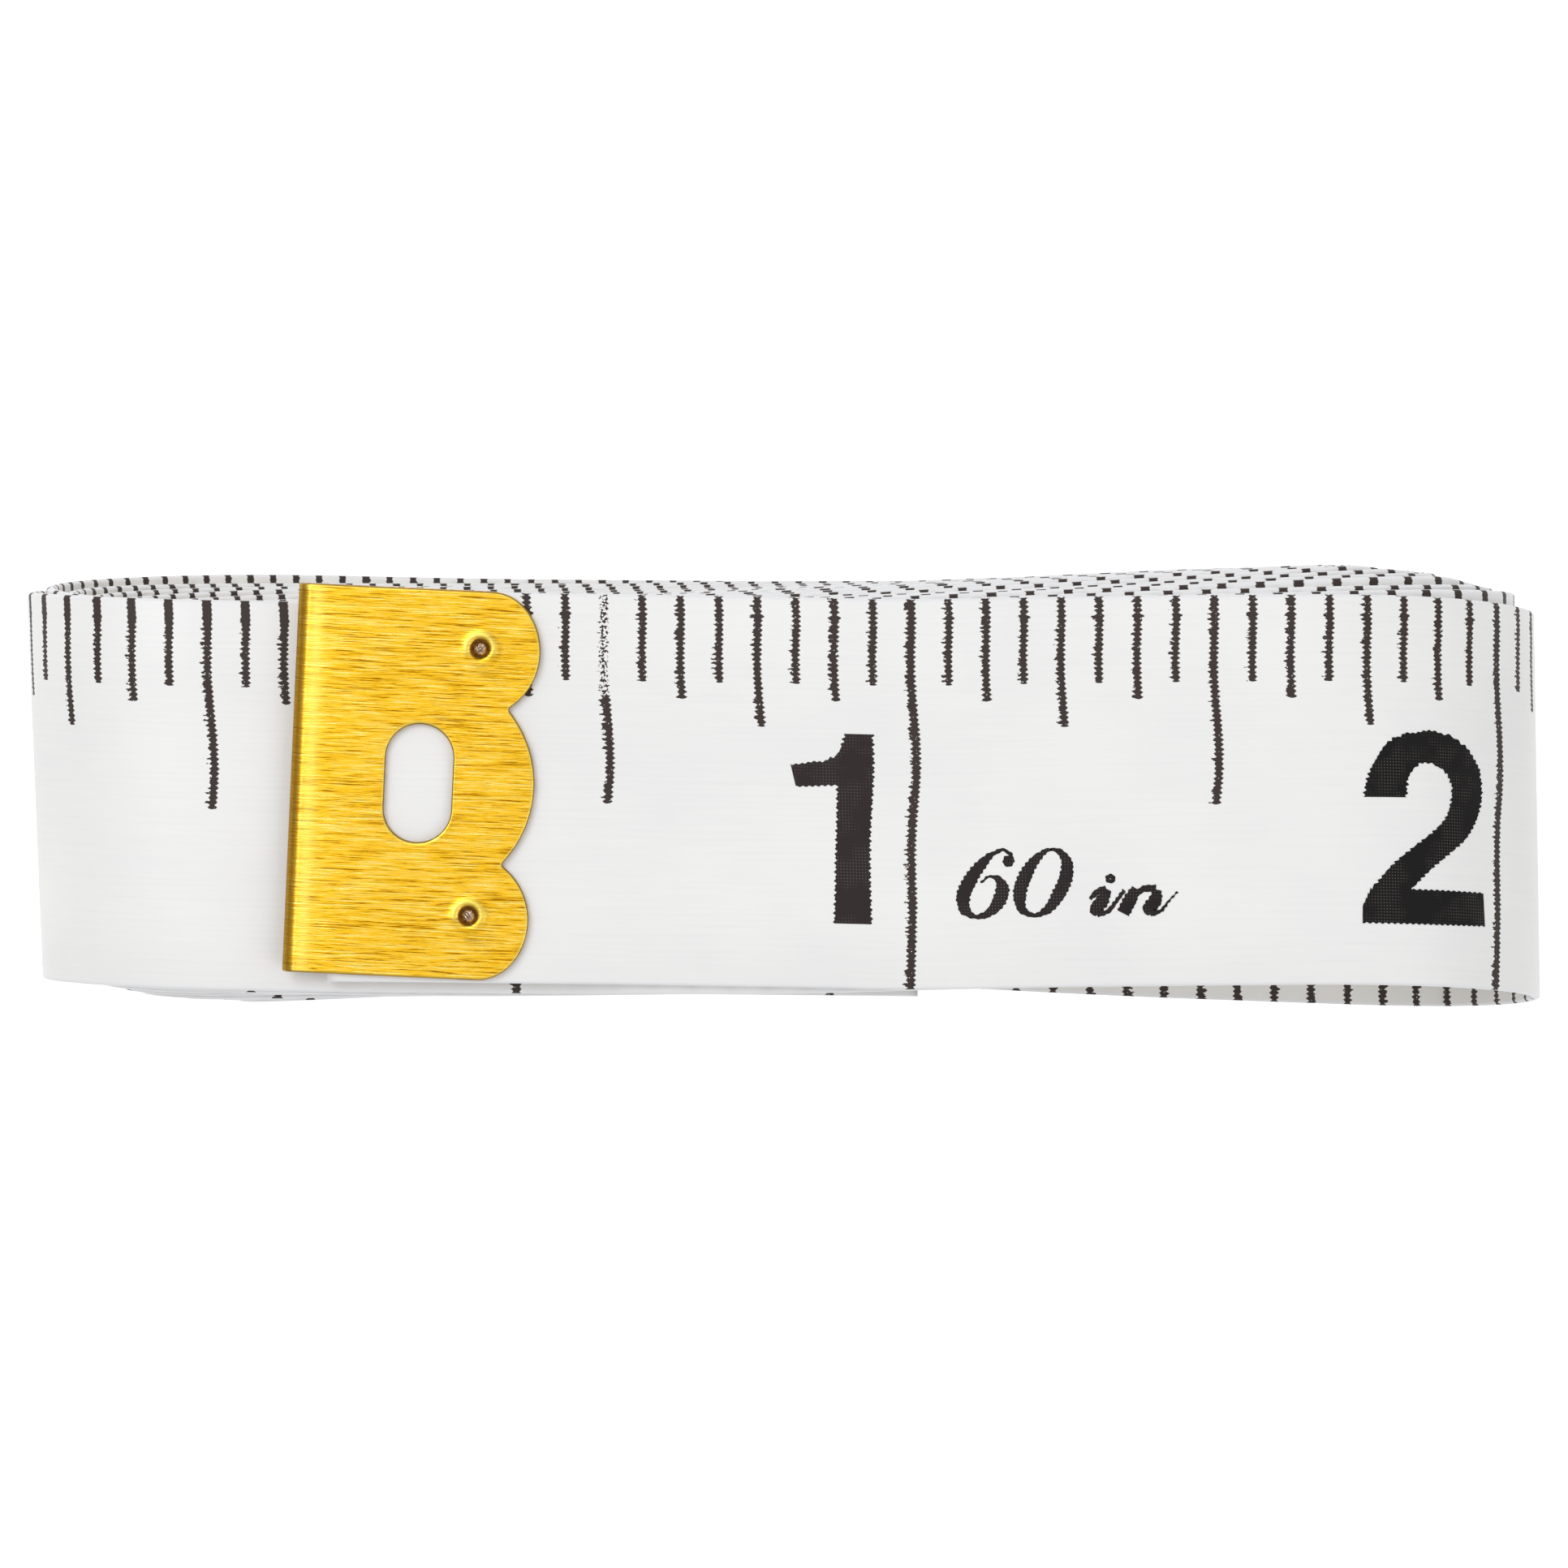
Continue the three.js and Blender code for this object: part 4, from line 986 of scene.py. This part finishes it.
def windowPoint(loop):
    # where the line from the window's middle to each point leaves the window
    x0, a, b = tabShape["window"]
    direction = loop - np.array([x0, 0])
    direction /= np.hypot(*direction.T)[:, None]
    cosine, sine = direction.T
    onSide = np.abs(sine) * a <= b * np.abs(cosine)
    toSide = a / np.maximum(np.abs(cosine), 1e-9)
    toRound = b * np.abs(sine) + np.sqrt(np.maximum(a ** 2 - (b * cosine) ** 2, 0))
    return np.array([x0, 0]) + direction * np.where(onSide, toSide, toRound)[:, None]


def crowd(xy):
    # near a prong, points move in towards it: r becomes r (1 - k (1 - smooth(r / reach)))
    reach, strength = tabShape["warp"]
    for prong in tabShape["prongs"]:
        away = xy - np.array(prong)
        r = np.hypot(away[..., 0], away[..., 1])[..., None]
        xy = np.array(prong) + away * (1 - strength * (1 - smooth(r / reach)))
    return xy


def leafHeight(xy, pierced):
    # 0 on the flat; round a prong a rim stands up and a pit with a torn bottom goes down,
    # and on the other leaf the clinched points show as low bumps
    t = tabShape
    height = np.zeros(xy.shape[:-1])
    radius, depth, slope = t["pit"]
    rimRadius, rimBreadth, rimHeight = t["rim"]
    lowShare, lowReach = t["rimLow"]
    tornHeight, rateX, rateY, tornRadius, tornFade = t["torn"]
    pointHeight, pointReach = t["point"]
    clinchHeight, clinchReach = t["clinch"]
    for x, y in t["prongs"]:
        dx, dy = xy[..., 0] - x, xy[..., 1] - y
        away = np.hypot(dx, dy)
        if pierced:
            share = 1 - lowShare * smooth(-dy / lowReach)
            height += rimHeight * share * np.exp(-((away - rimRadius) / rimBreadth) ** 2)
            torn = tornHeight * np.sin(dx * rateX + 1) * np.sin(dy * rateY + 2)
            torn = torn * smooth((tornRadius - away) / tornFade)
            pit = depth * smooth((radius - away) / slope)
            height -= pit - pointHeight * np.exp(-(away / pointReach) ** 2) - torn
        else:
            height += clinchHeight * np.exp(-(away / clinchReach) ** 2)
    return height


def tabWear(local, edgeShading):
    # shares from 0 to 1 that smooth steps and bell curves give: painted shade at the fold, the
    # cut edges and the pits and in a streak beside each pit, painted highlights beside them, and whitish grey
    # flecks in the pits
    s = tabMarks
    x, y, z = local[:, 0], local[:, 1], local[:, 2]
    # painted shade along the fold and at the cut edges
    share, foldX, fade = s["foldShade"]
    paintedShade = np.maximum(share - share * smooth((x - foldX) / fade), np.maximum(edgeShading, 0))
    # painted highlight beside the fold and beside the cut edges
    share, foldX, reach = s["foldHighlight"]
    paintedHighlight = np.maximum(share * np.exp(-((x - foldX) / reach) ** 2), -edgeShading)
    grey = np.zeros(len(x))
    pitRadius, pitFade = s["pitShade"]
    streakShare, streakX, streakY, reachX, reachY = s["shadowStreak"]
    highlightShare, highlightRadius, highlightReach = s["pitRimHighlight"]
    fadeReach, begun = s["highlightFade"]
    bareRadius, bareFade, rateX, rateY = s["bare"]
    for px, py in tabShape["prongs"]:
        away = np.hypot(x - px, y - py) + tabShape["length"] * (z < 0)  # only on the top leaf
        # painted shade in the pit, and a painted shadow streak beside it on the top leaf
        paintedShade = np.maximum(paintedShade, smooth((pitRadius - away) / pitFade))
        shadowStreak = np.exp(-((y - py - streakY) / reachY) ** 2 - ((x - px - streakX) / reachX) ** 2) * (z > 0)
        paintedShade = np.maximum(paintedShade, streakShare * shadowStreak)
        # a painted highlight on the pit's rim, on its +Y side
        upper = 1 - smooth((py - y) / fadeReach + begun)
        ring = np.exp(-((away - highlightRadius) / highlightReach) ** 2)
        paintedHighlight = np.maximum(paintedHighlight, highlightShare * upper * ring)
        flecks = 0.5 + 0.5 * np.sin(x * rateX) * np.sin(y * rateY)
        grey = np.maximum(grey, smooth((bareRadius - away) / bareFade) * flecks)
    return np.stack([paintedShade, paintedHighlight, grey], -1)


def leafRow(xy, z, sign, edgeShading):
    # a row of x, y, z, the place along the unfolded sheet (X on the top leaf, and on round
    # the fold), and the shading painted at a cut edge: above 0 painted shade, below 0 a painted highlight
    half = tabShape["half"]
    along = xy[:, 0] if sign > 0 else 2 * half - math.pi * half - xy[:, 0]
    return np.stack([xy[:, 0], xy[:, 1], np.full(len(xy), z * sign), along, np.full(len(xy), float(edgeShading))], -1)


def foldLine():
    # Y of the points where a leaf meets the fold
    half = tabShape["width"] / 2 - tabShape["edgeRound"]
    return np.linspace(half, -half, tabShape["foldLineSteps"] + 2)[1:-1]


def leafGrids(sign, pierced):
    # a leaf's skin is a ring grid from the window's wall over the rounded edge and the face
    # to the outer wall, and a flat inner skin closes the sheet; a ring runs along the free
    # edge and back along the fold
    t = tabShape
    outline = leafOutline()
    rounding, high, inside = t["edgeRound"], t["half"], t["inside"]
    foldY = foldLine()
    foldPoints = np.stack([np.full(len(foldY), t["half"]), foldY], -1)
    outward = normals(outline, False)
    outward[0], outward[-1] = (0, -1), (0, 1)
    # the middle loop follows the edge, drawn in so that the window sees all of it
    lowX, highX, shareY = t["middleLoop"]
    edgeX, bulge, bulgeRate = t["middleEdge"]
    edge = np.concatenate([outline - outward * rounding, foldPoints])
    whole = np.concatenate([outline, foldPoints])
    share = (edge[:, 0] - t["half"]) / (edgeX - t["half"])
    midX = lowX + (highX - lowX) * np.minimum(share, 1)
    midX = midX + bulge * (1 - np.exp(-np.maximum(share - 1, 0) * bulgeRate))
    middle = np.stack([midX, edge[:, 1] * shareY], -1)
    window = windowPoint(middle)
    windowOut = -normals(window, True)

    bend = rounding * (1 - math.sqrt(0.5))
    # painted shade on the cut edge and its rounding, and a painted highlight beside it
    edgeShading, rounded, highlightBeside = tabMarks["cutEdgeShade"], tabMarks["roundingShade"], tabMarks["rimHighlight"]
    inner, outer = t["piercedRings"] if pierced else t["plainRings"]
    start = window - windowOut * rounding
    face = [start + (middle - start) * s for s in np.linspace(0, 1, inner, endpoint=False)]
    face += [middle + (edge - middle) * s for s in np.linspace(0, 1, outer)]
    face = np.stack(face)
    if pierced:
        face = crowd(face)
    last = len(face) - 1
    skin = np.stack([leafRow(xy, high, sign, highlightBeside * (k in (0, last))) for k, xy in enumerate(face)])
    skin[..., 2] += sign * leafHeight(skin[..., :2], pierced)
    mouth = np.stack([leafRow(window, inside, sign, edgeShading), leafRow(window, high - rounding, sign, edgeShading),
                      leafRow(window - windowOut * bend, high - bend, sign, rounded)])
    wall = np.stack([leafRow(outline - outward * bend, high - bend, sign, rounded),
                     leafRow(outline, high - rounding, sign, edgeShading), leafRow(outline, inside, sign, edgeShading)])
    flat = [window + (middle - window) * s for s in (0, 0.5)]
    flat += [middle + (whole - middle) * s for s in (0, 0.5, 1)]
    lining = np.stack([leafRow(xy, inside, sign, 0) for xy in flat])
    edgeWall = np.concatenate([skin[-1:, :len(outline)], wall])
    return [(np.concatenate([mouth, skin]), True), (edgeWall, False), (lining, True)]


def foldGrids():
    # the fold is half a tube from leaf to leaf, with rounded ends and an inner skin: x and z
    # are the cosine and the sine of the way round
    t = tabShape
    halfWidth, rounding, high, inside = t["width"] / 2, t["edgeRound"], t["half"], t["inside"]
    # painted shade on the cut edge and its rounding, and a painted highlight beside it
    edgeShading, rounded, highlightBeside = tabMarks["cutEdgeShade"], tabMarks["roundingShade"], tabMarks["rimHighlight"]
    bend = rounding * (1 - math.sqrt(0.5))
    foldY = foldLine()
    turn = np.linspace(math.pi / 2, 1.5 * math.pi, t["foldSteps"])[:, None]
    ends = [(halfWidth, inside, edgeShading), (halfWidth, high - rounding, edgeShading),
            (halfWidth - bend, high - bend, rounded), (halfWidth - rounding, high, highlightBeside)]
    columns = ends + [(y, high, 0) for y in foldY] + [(-y, r, c) for y, r, c in ends[::-1]]
    innerY = np.concatenate([[halfWidth], foldY, [-halfWidth]])
    grids = []
    for y, radius, edgeShadings in (np.array(columns, float).T, (innerY, np.full(len(innerY), inside), 0 * innerY)):
        x, z = t["half"] + radius * np.cos(turn), radius * np.sin(turn)
        along = t["half"] - high * (turn - math.pi / 2) + 0 * x
        tube = np.stack([x, np.broadcast_to(y, x.shape), z, along, np.broadcast_to(edgeShadings, x.shape)], -1)
        grids.append((tube, False))
    return grids


def makeTab(name, place, angle, facing, pierced, material):
    # the grids of both leaves and the fold, joined, welded, drooped towards the fold and placed
    t = tabShape
    faces, count = [], 0
    grids = leafGrids(1, pierced) + leafGrids(-1, False) + foldGrids()
    for grid, closed in grids:
        faces.append(gridFaces(*grid.shape[:2], closedColumns=closed) + count)
        count += grid.shape[0] * grid.shape[1]
    local = np.concatenate([grid.reshape(-1, 5) for grid, closed in grids])
    # painted shade, painted highlights and the pits' whitish flecks, one share each
    paintedLightAndFlecks = tabWear(local[:, :3], local[:, 4])
    brush = np.stack([local[:, 3], local[:, 1], local[:, 2] * t["brushDepth"]], -1)
    droop, reach = t["foldDroop"]
    fromMiddle = np.hypot(np.minimum(local[:, 0] - t["half"], 0), local[:, 2])
    skinShare = np.clip((fromMiddle - t["inside"]) / (t["half"] - t["inside"]), 0, 1)
    local[:, 2] *= 1 - droop * np.exp(-local[:, 0] / reach) * skinShare

    piece = makePiece(name, local[:, :3], np.concatenate(faces).tolist(), material)
    mesh = piece.data
    for attribute, values in (("brush", brush), ("paintedLightAndFlecks", paintedLightAndFlecks)):
        layer = mesh.attributes.new(attribute, "FLOAT_VECTOR", "POINT")
        layer.data.foreach_set("vector", values.astype(np.float32).ravel())
    work = bmesh.new()
    work.from_mesh(mesh)
    bmesh.ops.remove_doubles(work, verts=work.verts, dist=t["weld"])
    bmesh.ops.recalc_face_normals(work, faces=work.faces)
    for edge in work.edges:
        if len(edge.link_faces) == 2 and edge.calc_face_angle(0) > math.radians(t["crease"]):
            edge.smooth = False
    loose = sum(len(edge.link_faces) != 2 for edge in work.edges)
    work.to_mesh(mesh)
    work.free()
    turned = Matrix.Rotation(facing, 4, "Y") @ Matrix.Rotation(angle, 4, "Z")
    mesh.transform(Matrix.Translation(Vector(place) * mm) @ turned)
    print(f"{name}: {len(mesh.polygons)} faces, {loose} open edges")
    return piece


# Brushed sheet brass: gold with fine streaks along the ribbon from the brush, some pale and
# some dark, painted shade in brown where it is folded, cut or pierced, and a painted highlight beside the
# fold

brassLook = {
    # gold, the dark and pale streaks, the painted highlight's colour, then the painted shade's and the pits'
    # whitish flecks'
    "gold": "#ffc828", "shade": "#965a00", "pale": "#ffec8a", "paintedHighlight": "#ffe670",
    "paintedShade": "#8a6120", "grey": "#f0e4da",
    "streak": (2.0, 0.065), "hair": (1.2, 0.04),  # length and breadth of the brush's lines
    "thick": 0.3,  # and their depth into the sheet
    "rough": (0.24, 0.42),
    "bump": 0.8, "bumpDepth": 0.000014,  # strength, and metres
}


def makeBrass(s):
    # three stretched noises: their sum picks the dark and the pale lines and raises them, the
    # third picks the glints, and the painted shade, the painted highlights and the pits' flecks go on top,
    # each mixed in by its share
    material, tree = newMaterial("brushed brass")
    where = addNode(tree, "ShaderNodeAttribute", {"attribute_name": "brush"}, {}).outputs["Vector"]
    # this attribute holds the painted shade, the painted highlight and the pits' flecks
    wearAndPaintedLight = addNode(tree, "ShaderNodeAttribute", {"attribute_name": "paintedLightAndFlecks"}, {}).outputs["Vector"]
    wearAndPaintedLight = addNode(tree, "ShaderNodeSeparateXYZ", {}, {"Vector": wearAndPaintedLight})
    grains = []
    for key, offset, detail in (("streak", 0.0, 4.0), ("hair", 31.0, 3.0), ("streak", 57.0, 3.0)):
        length, breadth = s[key]
        stretch = (1 / length, 1 / breadth, 1 / s["thick"])
        stretched = addNode(tree, "ShaderNodeMapping", {},
                            {"Vector": where, "Location": (offset, offset, 0), "Scale": stretch})
        grains.append(addNode(tree, "ShaderNodeTexNoise", {},
                              {"Vector": stretched, "Scale": 1.0, "Detail": detail, "Roughness": 0.7}))
    uneven = addNode(tree, "ShaderNodeMath", {"operation": "MULTIPLY_ADD"},
                     {0: grains[1], 1: 0.8, 2: grains[0]})
    dark = addNode(tree, "ShaderNodeMapRange", {},
                   {"Value": uneven, "From Min": 0.93, "From Max": 1.07, "To Max": 0.95})
    light = addNode(tree, "ShaderNodeMapRange", {},
                    {"Value": uneven, "From Min": 0.86, "From Max": 0.72, "To Max": 0.85})
    glint = addNode(tree, "ShaderNodeMapRange", {},
                    {"Value": grains[2], "From Min": 0.6, "From Max": 0.72, "To Max": 0.8})
    base = linearColour(s["gold"])
    for share, colour in ((dark, "shade"), (light, "pale"), (glint, "paintedHighlight"), (wearAndPaintedLight.outputs["Y"], "paintedHighlight"),
                          (wearAndPaintedLight.outputs["X"], "paintedShade"), (wearAndPaintedLight.outputs["Z"], "grey")):
        mixed = addNode(tree, "ShaderNodeMix", {"data_type": "RGBA"},
                        {"Factor": share, "A": base, "B": linearColour(s[colour])})
        base = mixed.outputs["Result"]
    smoothest, roughest = s["rough"]
    roughness = addNode(tree, "ShaderNodeMapRange", {},
                        {"Value": grains[0], "From Min": 0.3, "From Max": 0.7,
                         "To Min": smoothest, "To Max": roughest})
    ridges = addNode(tree, "ShaderNodeMath", {"operation": "MULTIPLY_ADD"},
                     {0: grains[1], 1: 0.6, 2: grains[0]})
    bump = addNode(tree, "ShaderNodeBump", {},
                   {"Strength": s["bump"], "Distance": s["bumpDepth"], "Height": ridges})
    metal = addNode(tree, "ShaderNodeBsdfPrincipled", {},
                    {"Base Color": base, "Metallic": 1.0, "Roughness": roughness.outputs["Result"],
                     "Normal": bump})
    addNode(tree, "ShaderNodeOutputMaterial", {}, {"Surface": metal})
    return material


brass = makeBrass(brassLook)

tabPlaces = {
    "outer": {"shift": (-0.12, 0.42), "angle": -0.046},  # in X and Y, and radians
    "inner": {"shift": (tabShape["half"], 0.4), "angle": 0},
}


def placeTab(name, loop, endX, outer, s):
    # the fold's middle, in the frame: on the ribbon's middle plane as it is at half the
    # tab's length, shifted along the ribbon and across it; the inner tab is turned over
    turn = np.array([turnAtX(loop, endX + (1 if outer else -1) * tabShape["length"] / 2)])
    x, z = profileAt(turn)
    y = edgeAt(turn, x)[0] + ribbonShape["width"] / 2 + s["shift"][1]
    place = (endX + s["shift"][0], y + rollShape["moveY"], z[0] + rollShape["moveZ"])
    return makeTab(name, place, s["angle"], 0 if outer else math.pi, outer, brass)


outerTab = placeTab("brass_tab_outer", 0, rollShape["outerEndX"], True, tabPlaces["outer"])
innerTab = placeTab("brass_tab_inner", rollShape["turns"], rollShape["innerEndX"], False, tabPlaces["inner"])
print("brass tabs made")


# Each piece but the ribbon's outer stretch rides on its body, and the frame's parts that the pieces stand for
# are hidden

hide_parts("tape_free_end")
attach(woundStretch, "roll")
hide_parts("tape_roll")
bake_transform(outerStretch)
for piece, body in ((outerPrint, "free_end"), (bendPrint, "roll"), (woundPrint, "roll")):
    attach(piece, body)
for piece, body, node in ((outerTab, "free_end", "outer_end_tab"), (innerTab, "roll", "inner_end_tab")):
    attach(piece, body)
    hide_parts(node)
